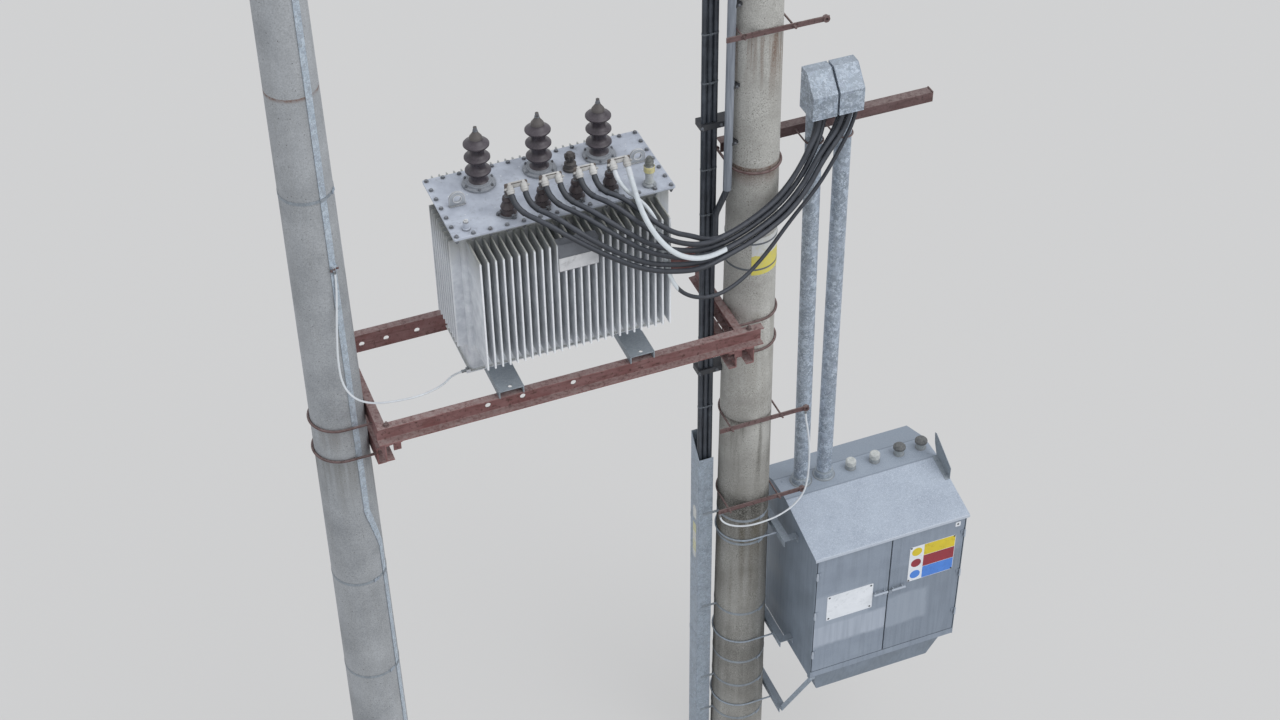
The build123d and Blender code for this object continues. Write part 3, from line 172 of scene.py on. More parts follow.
# The platform: two hot-rolled channel beams carried on a channel at each pole, clamped round the
# concrete by bent round bars. The steel was primed once in oxide red, and has rusted through along
# its edges and upward faces, where dust lies. Bolts, nuts and washers are plain steel, rusted brown.
def primed_steel(name, primer, faded, rust, dust):
    # Red oxide primer is a flat, chalky paint; mill scale and rust under it show as darker scabs.
    made, add = material(name)
    cloud = add("TexNoise", {"Scale": per(120), "Detail": 6, "Roughness": 0.62})
    long_way = add("Mapping", {"Scale": (0.12, 1, 1)})
    rolled = add("TexNoise", {"Vector": long_way, "Scale": per(16), "Detail": 4})
    scab = add("TexNoise", {"Scale": per(22), "Detail": 8, "Roughness": 0.7})
    grit = add("TexNoise", {"Scale": per(3), "Detail": 2})
    base = add("ValToRGB", [cloud], [(0.36, primer), (0.66, faded)])
    rusted = add("MapRange", [scab, 0.55, 0.63])
    lies = shared(add, (facing_up(add), 0.3, 0.9, 0, 0.85), (scab, 0.38, 0.58, 1, 0.3))
    base = laid(add, base, (rust, (rolled, 0.5, 0.72, 0, 0.55)), (rust, rusted), (dust, lies))
    relief = add("Math", [grit, rusted], operation="ADD")
    shade(add, base, 0.86, relief, 0.5, {"IOR": 1.5})
    return made


primer = primed_steel("red oxide primer on rolled steel", "#784f4d", "#896866", "#573b37", "#978986")
brown_primer = primed_steel("red oxide primer, rusted brown", "#5f4746", "#6d5857", "#453532", "#807370")
dress(primer, "front_beam", "back_beam", "left_cross_channel", "right_cross_channel", "lower_channels")
dress(brown_primer, "platform_ubolts", "conduit_beam", "support_bars", "conduit_clamps")

up, down, front = (0, 0, 1), (0, 0, -1), (0, -1, 0)
sides = (-1, 1)
# The piece in hand: the functions below add to it, and fitted() sets it in its place.
mesh = bmesh.new()


def skinned(loops):
    # Faces between each loop of corners and the next. A loop of one corner is a tip.
    around = max(len(loop) for loop in loops)
    for low, high in zip(loops, loops[1:]):
        for k in range(around):
            after = (k + 1) % around
            ring = [low[k % len(low)], low[after % len(low)], high[after % len(high)], high[k % len(high)]]
            ring = list(dict.fromkeys(ring))
            if len(ring) > 2:
                mesh.faces.new(ring)


def turned(foot, axis, rings, facets=24, start=0.0):
    # A form turned about an axis from rings of (radius, distance), in mm. Six facets make a hexagon.
    spin = Vector(axis).to_track_quat("Z", "Y")
    foot = Vector(foot)
    loops = []
    for radius, along in rings:
        angles = [start + 2 * math.pi * k / facets for k in range(facets if radius else 1)]
        places = [foot + spin @ Vector((radius * math.cos(a), radius * math.sin(a), along)) for a in angles]
        loops.append([mesh.verts.new(place / 1000) for place in places])
    skinned(loops)


def polar(x, y, radius, turn, z):
    # A place on a circle in mm, at a turn in degrees.
    return (x + radius * math.cos(math.radians(turn)), y + radius * math.sin(math.radians(turn)), z)


def block(low, high, spin=Quaternion(), foot=(0, 0, 0)):
    # A rectangular bar between two corners in mm, turned and set down at its foot.
    made = []
    for x in (low[0], high[0]):
        for y in (low[1], high[1]):
            for z in (low[2], high[2]):
                made.append(mesh.verts.new((Vector(foot) + spin @ Vector((x, y, z))) / 1000))
    for a, b, c, d in ((0, 1, 3, 2), (4, 6, 7, 5), (0, 4, 5, 1), (2, 3, 7, 6), (0, 2, 6, 4), (1, 5, 7, 3)):
        mesh.faces.new([made[a], made[b], made[c], made[d]])
    return made


def fastener(seat, axis, thread, stud):
    # Washer, hexagon and thread end of one metric size, screwed down on its seat and turned at random.
    start = random.uniform(0, 1)
    thick = 0.2 * thread
    nut_top = thick + 0.8 * thread
    turned(seat, axis, [
        (0, 0), (thread * 1.05, 0), (thread * 1.08, thick * 0.5), (thread * 1.02, thick), (0, thick)], 20)
    corner = thread * 0.92
    turned(seat, axis, [
        (0, thick), (corner * 0.88, thick), (corner, thick + 0.1 * thread), (corner, thick + 0.7 * thread),
        (corner * 0.86, nut_top), (0, nut_top)], 6, start)
    if stud:
        along = thick + 0.7 * thread
        rings = [(0, along)]
        while along < nut_top + stud:
            rings += [(thread * 0.43, along), (thread * 0.5, along + 0.07 * thread)]
            along += 0.15 * thread
        turned(seat, axis, rings + [(thread * 0.36, along), (0, along)], 12)


def seam(start, end, size, pitch=3.0):
    # A weld seam: a low rounded bead with the ripples of its runs, some wider and some narrower.
    run = Vector(end) - Vector(start)
    count = max(3, int(run.length / pitch))
    rings = [(0, 0)]
    for k in range(count):
        swell = 1 + 0.12 * math.sin(k * 0.37) + random.uniform(-0.08, 0.08)
        step = run.length / count
        rings += [(size * 0.8 * swell, step * k), (size * swell, step * (k + 0.5))]
    turned(start, run, rings + [(0, run.length)], 8)


def fitted(name, finish, body="station"):
    # Shades the mesh smooth between its sharp edges and fixes it to the body that carries it.
    bmesh.ops.recalc_face_normals(mesh, faces=mesh.faces)
    for face in mesh.faces:
        face.smooth = True
    for edge in mesh.edges:
        if len(edge.link_faces) == 2 and edge.calc_face_angle() > math.radians(32):
            edge.smooth = False
    data = bpy.data.meshes.new(name)
    mesh.to_mesh(data)
    mesh.clear()
    data.materials.append(finish)
    made = bpy.data.objects.new(name, data)
    bpy.context.scene.collection.objects.link(made)
    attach(made, body)
    return made


# Nuts on the U-bolts' legs, inside the pole's channel web, and the bolts that hold each beam down on its
# cross channel. They are black mild steel, unpainted, rusted to an even dark brown.
left_pole_x = -2600
pole_web = 161.6
poles = ((left_pole_x, 1), (0, -1))
for pole_x, inward in poles:
    for leg_y, leg_z in ((167.5, 4112.5), (169.2, 3875.5)):
        for side in sides:
            fastener((pole_x + inward * (pole_web + 7), side * leg_y, leg_z), (inward, 0, 0), 16, 16)
    for side in sides:
        bolt_x, bolt_y = pole_x + inward * (pole_web + 28), side * 420
        fastener((bolt_x, bolt_y, 4300), up, 16, 8)
        turned((bolt_x, bolt_y, 4175), down, [
            (0, 0), (14.5, 0), (14.5, 10), (12.5, 11.5), (0, 11.5)], 6, 0.3)
fitted("platform_nuts", brown_primer)

for pole_x, inward in poles:
    for side in sides:
        across = pole_x + inward * pole_web
        seam((across + inward * 2, side * 396, 4174), (across + inward * 60, side * 396, 4174), 4)
fitted("platform_welds", primer)


# Galvanised steel was dipped in molten zinc: it froze in flat crystals, the spangle, a centimetre or two
# across, each reflecting a little differently, and has since dulled to a chalky blue-grey.
def zinc(name, dark, middle, pale, spangle_mm=13, dust="#9aa1a8"):
    made, add = material(name)
    where = add("TexCoord").outputs["Object"]
    wander = add("TexNoise", {"Scale": per(spangle_mm), "Detail": 2}).outputs["Color"]
    crystal = add("Mix", {0: 0.06 * spangle_mm / 13, 4: where, 5: wander}, data_type="VECTOR")
    cell = add("TexVoronoi", {"Vector": crystal, "Scale": per(spangle_mm)}).outputs["Color"]
    tone = add("SeparateColor", [cell]).outputs["Red"]
    cloud = add("TexNoise", {"Scale": per(150), "Detail": 5, "Roughness": 0.6})
    bloom = add("TexNoise", {"Scale": per(7), "Detail": 5, "Roughness": 0.7})
    base = add("ValToRGB", [tone], [(0.1, dark), (0.5, middle), (0.95, pale)])
    spots = add("ValToRGB", [bloom], [(0.42, "#6c6c6c"), (0.62, "#a8a8a8")])
    base = add("Mix", {0: 0.5, 6: base, 7: spots}, data_type="RGBA", blend_type="OVERLAY")
    base = laid(add, base, (middle, (cloud, 0.3, 0.7, 0, 0.45)), (dust, (facing_up(add), 0.4, 1, 0, 0.4)))
    shade(add, base, (tone, 0, 1, 0.5, 0.72), bloom, 0.12, {"Metallic": 0.35})
    return made


dull_zinc = zinc("hot-dip zinc, dulled", "#95a0ab", "#aab4be", "#bec7cf")
conduit_zinc = zinc("hot-dip zinc with coarse spangle", "#8c97a3", "#a9b3be", "#d0d7df", 17)
grey_zinc = zinc("hot-dip zinc, greyed", "#8d979f", "#a0a9b0", "#b2bac0", 9)
# The earth strip's zinc is weathered pale and painted lighter still: painted light where the lamp leaves the
# strip in shade.
pale_strip_zinc_with_painted_light = zinc("hot-dip zinc, weathered pale, painted lighter", "#a9b2bb", "#bcc5cd", "#d0d8df")
band_zinc = zinc("hot-dip zinc, weathered and dusty", "#8f979f", "#9da5ac", "#aeb6bd", 13, "#8e8f8e")
dress(grey_zinc, "left_skid", "right_skid")
dress(conduit_zinc, "left_conduit", "right_conduit", "left_hood", "right_hood")
dress(dull_zinc, "cable_guard", "cabinet_brackets")
dress(pale_strip_zinc_with_painted_light, "earth_strip")
dress(band_zinc, "pole_bands")

# The transformer stands on its two skids, held by short welds along its base plate.
for skid_x in (-1675, -875):
    for side in sides:
        for edge in sides:
            weld_x = skid_x + edge * 52
            seam((weld_x, side * 150, 4351), (weld_x, side * 235, 4351), 4)
fitted("skid_welds", grey_zinc)


# The transformer's tank: a welded box of mild steel on a base plate, its walls folded into deep hollow
# fins that cool the oil. It is sprayed in light grey enamel, now greyed by soot, olive with grime and painted
# shade between the fins near their tops, and rubbed pale along the fins' outer edges.
tank_x = -1250
fins_enamel, add = material("light grey enamel, sooted")
place = add("SeparateXYZ").outputs
tall = add("Mapping", {"Scale": (1, 1, 0.09)})
run = add("TexNoise", {"Vector": tall, "Scale": per(14), "Detail": 5})
cloud = add("TexNoise", {"Scale": per(70), "Detail": 6, "Roughness": 0.65})
fleck = add("TexNoise", {"Scale": per(8), "Detail": 4})
soot = add("ValToRGB", [cloud], [(0.32, "#cdd0d4"), (0.7, "#e6e8ea")])
streaks = add("ValToRGB", [run], [(0.4, "#7c7c7c"), (0.66, "#a2a2a2")])
base = add("Mix", {0: 0.6, 6: soot, 7: streaks}, data_type="RGBA", blend_type="OVERLAY")
out_y = add("Math", [place["Y"]], operation="ABSOLUTE")
from_mid = add("Math", [place["X"], -tank_x / 1000], operation="ADD")
out_x = add("Math", [from_mid], operation="ABSOLUTE")
# The left end hangs over the platform's open side and is coloured paler: paler paint, and painted light on
# that end.
washed = add("ValToRGB", [cloud], [(0.35, "#bfc3ca"), (0.66, "#dcdfe3")])
base = laid(add, base, (washed, (from_mid, -0.52, -0.6, 0, 0.72)))
tips = add("Math", [(out_y, 0.432, 0.442), (out_x, 0.638, 0.646)], operation="MAXIMUM")
base = laid(add, base, ("#e2e4e6", shared(add, tips, (fleck, 0.36, 0.5, 0.45, 1))))
# Olive grime with painted shade darkens the fins' sides below their upper ends; grime also lies on every
# upward face.
grime_and_shade_between_fins = shared(add, (place["Z"], 5.08, 5.27, 0, 0.7), (out_y, 0.436, 0.425), (cloud, 0.3, 0.6, 0.45, 1))
base = laid(add, base, ("#66665c", grime_and_shade_between_fins), ("#a3a39b", (facing_up(add), 0.5, 0.95, 0, 0.75)))
shade(add, base, (cloud, 0.3, 0.7, 0.5, 0.74), add("Math", [fleck, run], operation="ADD"), 0.25, {"IOR": 1.5})
dress(fins_enamel, "tank", "front_fins", "back_fins", "end_fins")

# Each fin's folded sheet is closed by a weld along its upper end. Seams join the walls at the corners
# and stand the box on its base plate.
fin_pitch = 44
weld_z, foot_z = 5275, 4358
for k in range(26):
    fin_x = tank_x + (k - 12.5) * fin_pitch
    for side in sides:
        seam((fin_x, side * 214, weld_z), (fin_x, side * 442, weld_z), 3.6, 9)
for k in range(9):
    fin_y = (k - 4) * fin_pitch
    for side in sides:
        seam((tank_x + side * 590, fin_y, weld_z), (tank_x + side * 646, fin_y, weld_z), 3.6, 9)
for way in sides:
    corner_x = tank_x + way * 587
    for side in sides:
        seam((corner_x, side * 188, 4360), (corner_x, side * 188, 5330), 3, 10)
        seam((tank_x + way * 560, side * 211, foot_z), (tank_x + way * 30, side * 211, foot_z), 3.5, 8)
    seam((tank_x + way * 588, -180, foot_z), (tank_x + way * 588, 180, foot_z), 3.5, 8)
fitted("tank_welds", fins_enamel)

# Drain valve low on the front wall: a turned brass-bodied cock, painted over, with a hexagon cap.
turned((tank_x, -209, 4440), front, [
    (0, 0), (30, 0), (30, 5), (17, 9), (15, 26), (21, 29), (21, 50), (17, 53), (0, 53)])
turned((tank_x, -262, 4440), front, [(0, 0), (18, 0), (19, 2), (19, 15), (16, 17), (0, 17)], 6, 0.3)
turned((tank_x, -248, 4458), up, [
    (0, 0), (7, 0), (7, 12), (10, 13), (10, 21), (8, 23), (0, 23)], 6, 0.2)
fitted("drain_valve", fins_enamel)

# The earth boss carries a brass stud with two nuts; the wire ends in a pressed tinned lug.
lug_tin = zinc("tinned copper, dulled", "#7a7d7f", "#8f9294", "#a7a9aa", 6)
fastener((-1858, -210, 4372), up, 10, 6)
turned((-1868.6, -210, 4361), (-1, 0, 0), [
    (0, 0), (9, 0), (9.6, 2), (9.6, 9), (8, 10), (8, 14), (9.4, 15), (9.4, 26), (8.4, 28), (6.3, 28),
    (0, 27)], 16)
fitted("tank_earth_lug", lug_tin)


# The lid: a 12 mm plate bolted down on the tank's rim over a cork gasket, one bolt about every 98 mm.
# It carries the bushings, two lifting lugs, the oil gauge, the tap changer and a thermometer pocket.
def grey_enamel(name, pale, dark, stain, spatter, corner_dirt_and_shade):
    # Flat sheet in the same enamel: lime wash spatters it white, and dirt with painted shade darkens the
    # corners round every fitting.
    made, add = material(name)
    cloud = add("TexNoise", {"Scale": per(110), "Detail": 7, "Roughness": 0.62})
    blot = add("TexNoise", {"Scale": per(38), "Detail": 5, "Roughness": 0.7, "Distortion": 0.6})
    fine = add("TexNoise", {"Scale": per(2.4), "Detail": 3})
    drop = add("TexVoronoi", {"Scale": per(24)})
    size = add("SeparateColor", [drop.outputs["Color"]]).outputs["Green"]
    inside = add("Math", [(size, 0.55, 1, 0, 0.2), drop], operation="SUBTRACT")
    # Dirt and painted shade: corners and recesses are darkened as far as they are occluded.
    corner = add("AmbientOcclusion", {"Distance": 0.022}, samples=4).outputs["AO"]
    base = add("ValToRGB", [cloud], [(0.32, dark), (0.64, pale)])
    base = laid(add, base, (stain, (blot, 0.56, 0.72, 0, 0.6)), ("#d4d7da", (inside, 0, 0.05, 0, spatter)),
                ("#4a494a", (corner, 0.85, 0.4, 0, corner_dirt_and_shade)))
    shade(add, base, (cloud, 0.3, 0.7, 0.42, 0.66), fine, 0.12, {"IOR": 1.5})
    return made


lid_enamel = grey_enamel("light grey enamel on plate", "#bbc1cc", "#a2a8b4", "#82868d", 0.9, 1)
pale_enamel = grey_enamel("light grey enamel, chalked", "#cfd0d0", "#b4b6b8", "#99968f", 0.6, 0.8)
lug_enamel = grey_enamel("light grey enamel, grimy", "#b4b8bd", "#94999f", "#75787c", 0.4, 0.95)
bolt_steel = primed_steel("zinc-plated bolts, darkened", "#5d6066", "#767a80", "#4c4340", "#8b8f95")
dress(lid_enamel, "lid")
dress(lug_enamel, "lifting_lugs")

lid_top = 5368
places = [(tank_x + (k - 6.5) * 1250 / 13, y) for k in range(14) for y in (-275, 275)]
places += [(x, (k - 3) * 550 / 6) for k in range(1, 6) for x in (-1875, -625)]
for bolt_x, bolt_y in places:
    fastener((bolt_x, bolt_y, lid_top), up, 12, 0)
    turned((bolt_x, bolt_y, 5344), down, [
        (0, 0), (12.5, 0), (12.5, 2.4), (11, 2.5), (11, 10), (9.5, 12), (6, 12), (6, 19), (5, 20),
        (0, 20)], 6, 0.4)
fitted("lid_bolts", bolt_steel)

# Each lug's flame-cut edge is dressed round, and its paint is worn through to a pale rim.
lug_radius, eye_z = 44.6, 5413
for lug_x in (-1782, -718):
    for side in sides:
        seam((lug_x - 44, side * 6.5, 5369), (lug_x + 44, side * 6.5, 5369), 4)
        turned((lug_x, 0, eye_z), (0, side, 0), [
            (22, 5.9), (27, 5.9), (27, 7.6), (25.6, 8.6), (23.4, 8.6), (22, 7.4), (22, 5.9)], 40)
    edge = [polar(lug_x, eye_z, lug_radius, 180 - 7.5 * k, 0)[:2] for k in range(25)]
    edge = [(lug_x - lug_radius, 5372)] + edge + [(lug_x + lug_radius, 5372)]
    for (x0, z0), (x1, z1) in zip(edge, edge[1:]):
        length = math.dist((x0, z0), (x1, z1))
        for y in (-5.6, 5.6):
            turned((x0, y, z0), (x1 - x0, 0, z1 - z0), [
                (0, -0.6), (1.7, 0), (1.7, length), (0, length + 0.6)], 8)
fitted("lug_welds", pale_enamel)

# Thermometer pocket: its screwed plug, with the small chain ring it hangs from.
turned((-1803, -223, 5414), up, [(0, 0), (13, 0), (14, 1.5), (14, 9), (12.5, 10.5), (0, 10.5)], 6, 0.5)
turned((-1803, -223, 5424), up, [(0, 0), (6, 0), (6, 5), (4.5, 7), (0, 7)], 12)
fitted("pocket_plug", pale_enamel)


# The high-voltage bushings: wet-process porcelain, turned, dipped in a brown glaze and fired, clamped on
# a gasket by a cast aluminium ring with six nuts. A pressed cap and a threaded copper stud close the top.
def glazed(name, glaze, deep, dust, foot, foot_top, cap_low, metal):
    made, add = material(name)
    height = add("SeparateXYZ").outputs["Z"]
    pooled = add("TexNoise", {"Scale": per(40), "Detail": 4})
    film = add("TexNoise", {"Scale": per(12), "Detail": 6, "Roughness": 0.7})
    base = add("ValToRGB", [pooled], [(0.35, deep), (0.65, glaze)])
    lies = shared(add, (facing_up(add), -0.1, 0.9, 0.12, 0.7), (film, 0.35, 0.65, 0.3, 1))
    base = laid(add, base, (dust, lies))
    low = add("Math", [height, foot_top], operation="LESS_THAN")
    high = add("Math", [height, cap_low], operation="GREATER_THAN")
    for part, clean, dirty in ((low, foot, "#686c73"), (high, metal, "#544c49")):
        fitting = add("Mix", {0: film, 6: clean, 7: dirty}, data_type="RGBA")
        base = laid(add, base, (fitting, part))
    bare = add("Math", [low, high], operation="MAXIMUM")
    gloss = add("Mix", {0: bare, 2: (lies, 0, 0.7, 0.24, 0.6), 3: 0.55}, data_type="FLOAT")
    shade(add, base, gloss, film, 0.15, {"IOR": 1.52})
    return made


brown_glaze = glazed("brown glazed porcelain", "#383036", "#241e22", "#5d565c", "#a9adb3", 5.396, 5.674,
                     "#5a5857")
bushing_places = (-1608, tank_x, -892)
bushing_y = 148
for number, bushing_x in enumerate(bushing_places, 1):
    rings = [(0, 0), (94, 0), (94, 10), (92, 12), (79, 12), (77, 13), (75, 24), (73, 26), (58, 27), (52, 32),
             (46, 40), (44, 52)]
    for shed_z in (100, 187, 274):
        # An overhanging shed: a drip edge below, a full round lip, and a dished slope back to the core.
        rings += [(radius, shed_z + rise) for radius, rise in (
            (44, -16), (47, -10), (58, -7), (66, -9), (71, -12), (74, -8), (73.5, -2), (69, 3), (60, 8),
            (51, 14), (46, 21), (44, 30))]
    rings[-2:] = [(40, 300), (38, 304), (37, 308), (36, 316), (31, 323), (23, 334), (17, 344), (13, 351),
                  (10, 353), (10, 379), (8, 380), (0, 380)]
    turned((bushing_x, bushing_y, lid_top), up, rings, 48)
    made = fitted("hv_bushing_%d_turned" % number, brown_glaze)
    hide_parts("hv_bushing_%d" % number)
for bushing_x in bushing_places:
    for k in range(6):
        fastener(polar(bushing_x, bushing_y, 86.5, 60 * k + 15, lid_top + 12), up, 8, 4)
    fastener((bushing_x, bushing_y, lid_top + 352), up, 14, 0)
    rings = [(0, 364)]
    for k in range(5):
        rings += [(9.9, 364 + 3 * k), (10.6, 365.5 + 3 * k)]
    turned((bushing_x, bushing_y, lid_top), up, rings + [(8, 379), (0, 380)], 20)
fitted("hv_nuts", bolt_steel)


# The low-voltage bushings: small glazed porcelain cones with a copper stem. A bar on each stem joins
# two cast clamps with moulded cream shrouds, one for each of the pair of cables.
lv_glaze = glazed("brown glazed porcelain, small", "#3b3133", "#282122", "#5d5556", "#7b7d80", 5.381, 5.486,
                  "#6b625a")
shroud_plastic = grey_enamel("grey-white polyamide, weathered", "#c6c5c2", "#9f9d9a", "#77746f", 0.6, 0.95)
dress(lv_glaze, "lv_bushing_1", "lv_bushing_2", "lv_bushing_3", "lv_bushing_4")
stems = [-1548.5 + 199 * k for k in range(4)]
stem_y = -180
for stem_x in stems:
    pair_x = stem_x + 55
    for side in sides:
        clamp_x = pair_x + side * 40
        turned((clamp_x, -176, 5555), (0, -1, -1), [
            (0, 0), (14, 0), (18, 3), (20.5, 8), (20.5, 30), (23, 32), (23, 42), (20.5, 44), (20, 52),
            (17.8, 55), (0, 55)], 20)
        turned((clamp_x, -184, 5560), (0, -0.35, 1), [(0, 0), (11, 0), (11, 7), (9.5, 9), (0, 9)], 6, 0.4)
        turned((clamp_x + side * 20, -193, 5541), (side, -0.25, 0.1), [
            (0, 0), (9, 0), (9, 4), (6, 5), (6, 12), (5, 13), (0, 13)], 12)
    bridge = block((pair_x - 44, -191, 5534), (pair_x + 44, -169, 5568))
    edges = list({edge for corner in bridge for edge in corner.link_edges})
    bmesh.ops.bevel(mesh, geom=edges, offset=0.006, segments=3, affect="EDGES")
fitted("terminal_shrouds", shroud_plastic)

for stem_x in stems:
    for nut_z in (5486, 5512):
        fastener((stem_x, stem_y, nut_z), up, 16, 0)
    for turn in (50, 170, 290):
        spin = Quaternion(up, math.radians(turn))
        for low_x, high_x, thick in ((34, 56, 18), (50, 64, 7)):
            block((low_x, -9, 0), (high_x, 9, thick), spin, (stem_x, stem_y, lid_top))
        fastener(polar(stem_x, stem_y, 57, turn, lid_top + 7), up, 8, 4)
fitted("lv_clamp_nuts", bolt_steel)


# The oil gauge: a clear acrylic tube on a cast foot, with a moulded yellow collar and a dark cap.
# The knob of the tap changer beside it is cast, with grips round its edge.
def banded(name, bands, roughness):
    # One moulding or casting above another, each coloured through, clouded by sun and dirt.
    made, add = material(name)
    height = add("SeparateXYZ").outputs["Z"]
    haze = add("TexNoise", {"Scale": per(16), "Detail": 5})
    base = bands[0][1]
    for low, code in bands[1:]:
        above = add("Math", [height, low], operation="GREATER_THAN")
        base = laid(add, base, (code, above))
    base = laid(add, base, ("#8b8c88", (haze, 0.35, 0.7, 0, 0.5)))
    shade(add, base, roughness, haze, 0.2, {"IOR": 1.49, "Coat Weight": 0.3, "Coat Roughness": 0.2})
    return made


gauge_moulding = banded("clouded acrylic and moulded collar", [
    (0, "#8f9499"), (5.386, "#b7bbbb"), (5.461, "#cdc389"), (5.499, "#5b5e58"), (5.539, "#454845")], 0.3)
dress(gauge_moulding, "oil_gauge")
gauge_x, gauge_y = -735, -225
for k in range(4):
    fastener(polar(gauge_x, gauge_y, 31, 90 * k + 30, lid_top + 10), up, 6, 2)
turned((gauge_x, gauge_y, lid_top + 20), up, [
    (23.2, 0), (25.5, 1), (25.5, 7), (23.2, 8), (23.2, 52), (25.5, 53), (25.5, 60), (23.2, 61)], 32)
turned((gauge_x, gauge_y, lid_top + 150), up, [(23.2, 0), (26, 2), (26, 10), (23.2, 12)], 10)
fitted("gauge_collars", gauge_moulding)

dark_knob = grey_enamel("cast aluminium knob, darkened", "#5d5856", "#3f3b3a", "#2f2b29", 0.3, 0.8)
dress(dark_knob, "tap_changer")
knob_x, knob_y = -1090, 83
for k in range(8):
    turned(polar(knob_x, knob_y, 25, 45 * k + 10, lid_top + 72), up, [
        (0, 0), (6.5, 1), (7.5, 4), (7.5, 24), (6, 28), (0, 29)], 12)
turned((knob_x, knob_y, lid_top + 109), up, [(0, 0), (17, 0), (17, 3), (14, 5), (0, 5)])
fitted("tap_knob_grips", dark_knob)

# The plate bracket is folded from thin steel and hooked over the fins; a pale enamelled plate is
# riveted on its lower half.
bracket_steel = grey_enamel("grey enamel, sooted", "#6a6d73", "#54575d", "#45474b", 0.25, 0.5)
stove_enamel = grey_enamel("white stove enamel, greyed", "#cfcfd0", "#b6b7b9", "#8e8d8d", 0.2, 0.5)
dress(bracket_steel, "nameplate_bracket")
block((-1357, -448.6, 5099), (-1127, -447.1, 5188))
for rivet_x in (-1349, -1135):
    for rivet_z in (5107, 5180):
        turned((rivet_x, -448.4, rivet_z), front, [(0, 0), (3.6, 0), (3.2, 1.2), (0, 2)], 12)
fitted("blank_plate", stove_enamel)


# The two conduits are galvanised water pipe, screwed into flanged sockets on the cabinet's roof. A rusty
# angle behind the pole holds them with bent rods; a folded sheet hood is riveted over each upper end.
clamp_z, roof_z = 5213.5, 2430
beam_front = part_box("conduit_beam")[0][1] * 1000
feet = (438, 606)
foot_y = 25
for low_x, high_x in zip(feet, (391, 585)):
    middle_x = low_x + (high_x - low_x) * (clamp_z - roof_z) / 3180
    for side in sides:
        leg_x = middle_x + side * 56.6
        fastener((leg_x, beam_front + 6, clamp_z), (0, 1, 0), 10, 10)
        turned((leg_x, beam_front, clamp_z), front, [
            (0, 0), (10.5, 0), (10.5, 2), (8.8, 2.2), (8.8, 9), (7.5, 10), (0, 10)], 6, 0.4)
for side in sides:
    fastener((side * 159.7, beam_front + 6, 5207), (0, 1, 0), 16, 12)
fitted("conduit_clamp_nuts", brown_primer)

for foot_x in feet:
    turned((foot_x, foot_y, roof_z), up, [(63, 0), (72, 0.5), (71, 3), (64, 7), (62.5, 12)], 40)
    for rise in (12, 22, 32):
        turned((foot_x, foot_y, roof_z + rise), up, [(61.5, 0), (63, 1), (63, 3), (61.5, 4)], 40)
    turned((foot_x, foot_y, roof_z + 45), up, [(62, 0), (60, 3), (54, 5), (52.5, 13), (50.5, 14)], 40)
fitted("conduit_sockets", grey_zinc)

hood_rivets = [(62, z) for z in (5450, 5510, 5570, 5630, 5680)] + [(-84, z) for z in (5446, 5500, 5560)]
for hood_x in (400, 570):
    for side in sides:
        face_x = hood_x + side * 78
        for rivet_y, rivet_z in hood_rivets:
            turned((face_x - side * 0.4, rivet_y, rivet_z), (side, 0, 0), [
                (0, 0), (4.2, 0), (3.8, 1.4), (2.2, 2.2), (0, 2.4)], 12)
        seam((face_x - side * 1.5, -96, 5579), (face_x - side * 1.5, 9, 5699), 2.2, 6)
    for hem_y in (-96.4, 76.6):
        turned((hood_x - 77.5, hem_y, 5432), (1, 0, 0), [(0, 0), (2.6, 0.4), (2.6, 154.6), (0, 155)], 12)
fitted("hood_rivets_and_hems", conduit_zinc)

# Inside each hood every cable passes a moulded gland in the plate.
gland_nylon = grey_enamel("black nylon glands", "#3a3d41", "#2b2d31", "#232427", 0.1, 0.3)
for gland_x, gland_y in ((576, -79), (576, -44), (526, -44), (526, -79), (622, -62), (424, -44), (378, -79),
                         (378, -44)):
    turned((gland_x, gland_y, 5489.8), down, [
        (15.2, 0), (16.8, 0), (16.8, 7), (16.2, 8), (16.2, 14), (15.2, 17)], 12)
fitted("hood_glands", gland_nylon)


# The riser: four sheathed cables strapped together beside the pole, cast clamps on brackets, a grey PVC
# pipe with a black sleeve out of its lower end, and a folded galvanised guard over the first three metres.
# The extruded sheaths are smooth, ribbed by the die, and chalked in long upright streaks by sun and rain.
riser_sheath, add = material("black PVC sheath, drawn")
tall = add("Mapping", {"Scale": (1, 1, 0.04)})
streak = add("TexNoise", {"Vector": tall, "Scale": per(9), "Detail": 5})
cloud = add("TexNoise", {"Scale": per(90), "Detail": 5, "Roughness": 0.65})
base = add("ValToRGB", [streak], [(0.36, "#262a31"), (0.68, "#3d434c")])
base = laid(add, base, ("#596069", (cloud, 0.45, 0.7, 0, 0.55)))
shade(add, base, (cloud, 0.3, 0.7, 0.38, 0.62), streak, 0.2, {"IOR": 1.53})
dress(riser_sheath, "riser_cables")

two_tone, add = material("grey PVC pipe over a black sleeve")
tall = add("Mapping", {"Scale": (1, 1, 0.05)})
streak = add("TexNoise", {"Vector": tall, "Scale": per(10), "Detail": 5})
grey = add("ValToRGB", [streak], [(0.35, "#737982"), (0.68, "#9197a0")])
black = add("ValToRGB", [streak], [(0.35, "#30343a"), (0.68, "#474c54")])
above = add("Math", [add("SeparateXYZ").outputs["Z"], 5.081], operation="GREATER_THAN")
base = add("Mix", {0: above, 6: black, 7: grey}, data_type="RGBA")
shade(add, base, 0.5, streak, 0.2, {"IOR": 1.53})
dress(two_tone, "riser_pipe")

cast_black = grey_enamel("cast iron, black varnish", "#3d3f44", "#2c2e32", "#4f4a47", 0.15, 0.4)
dress(cast_black, "riser_clamps")


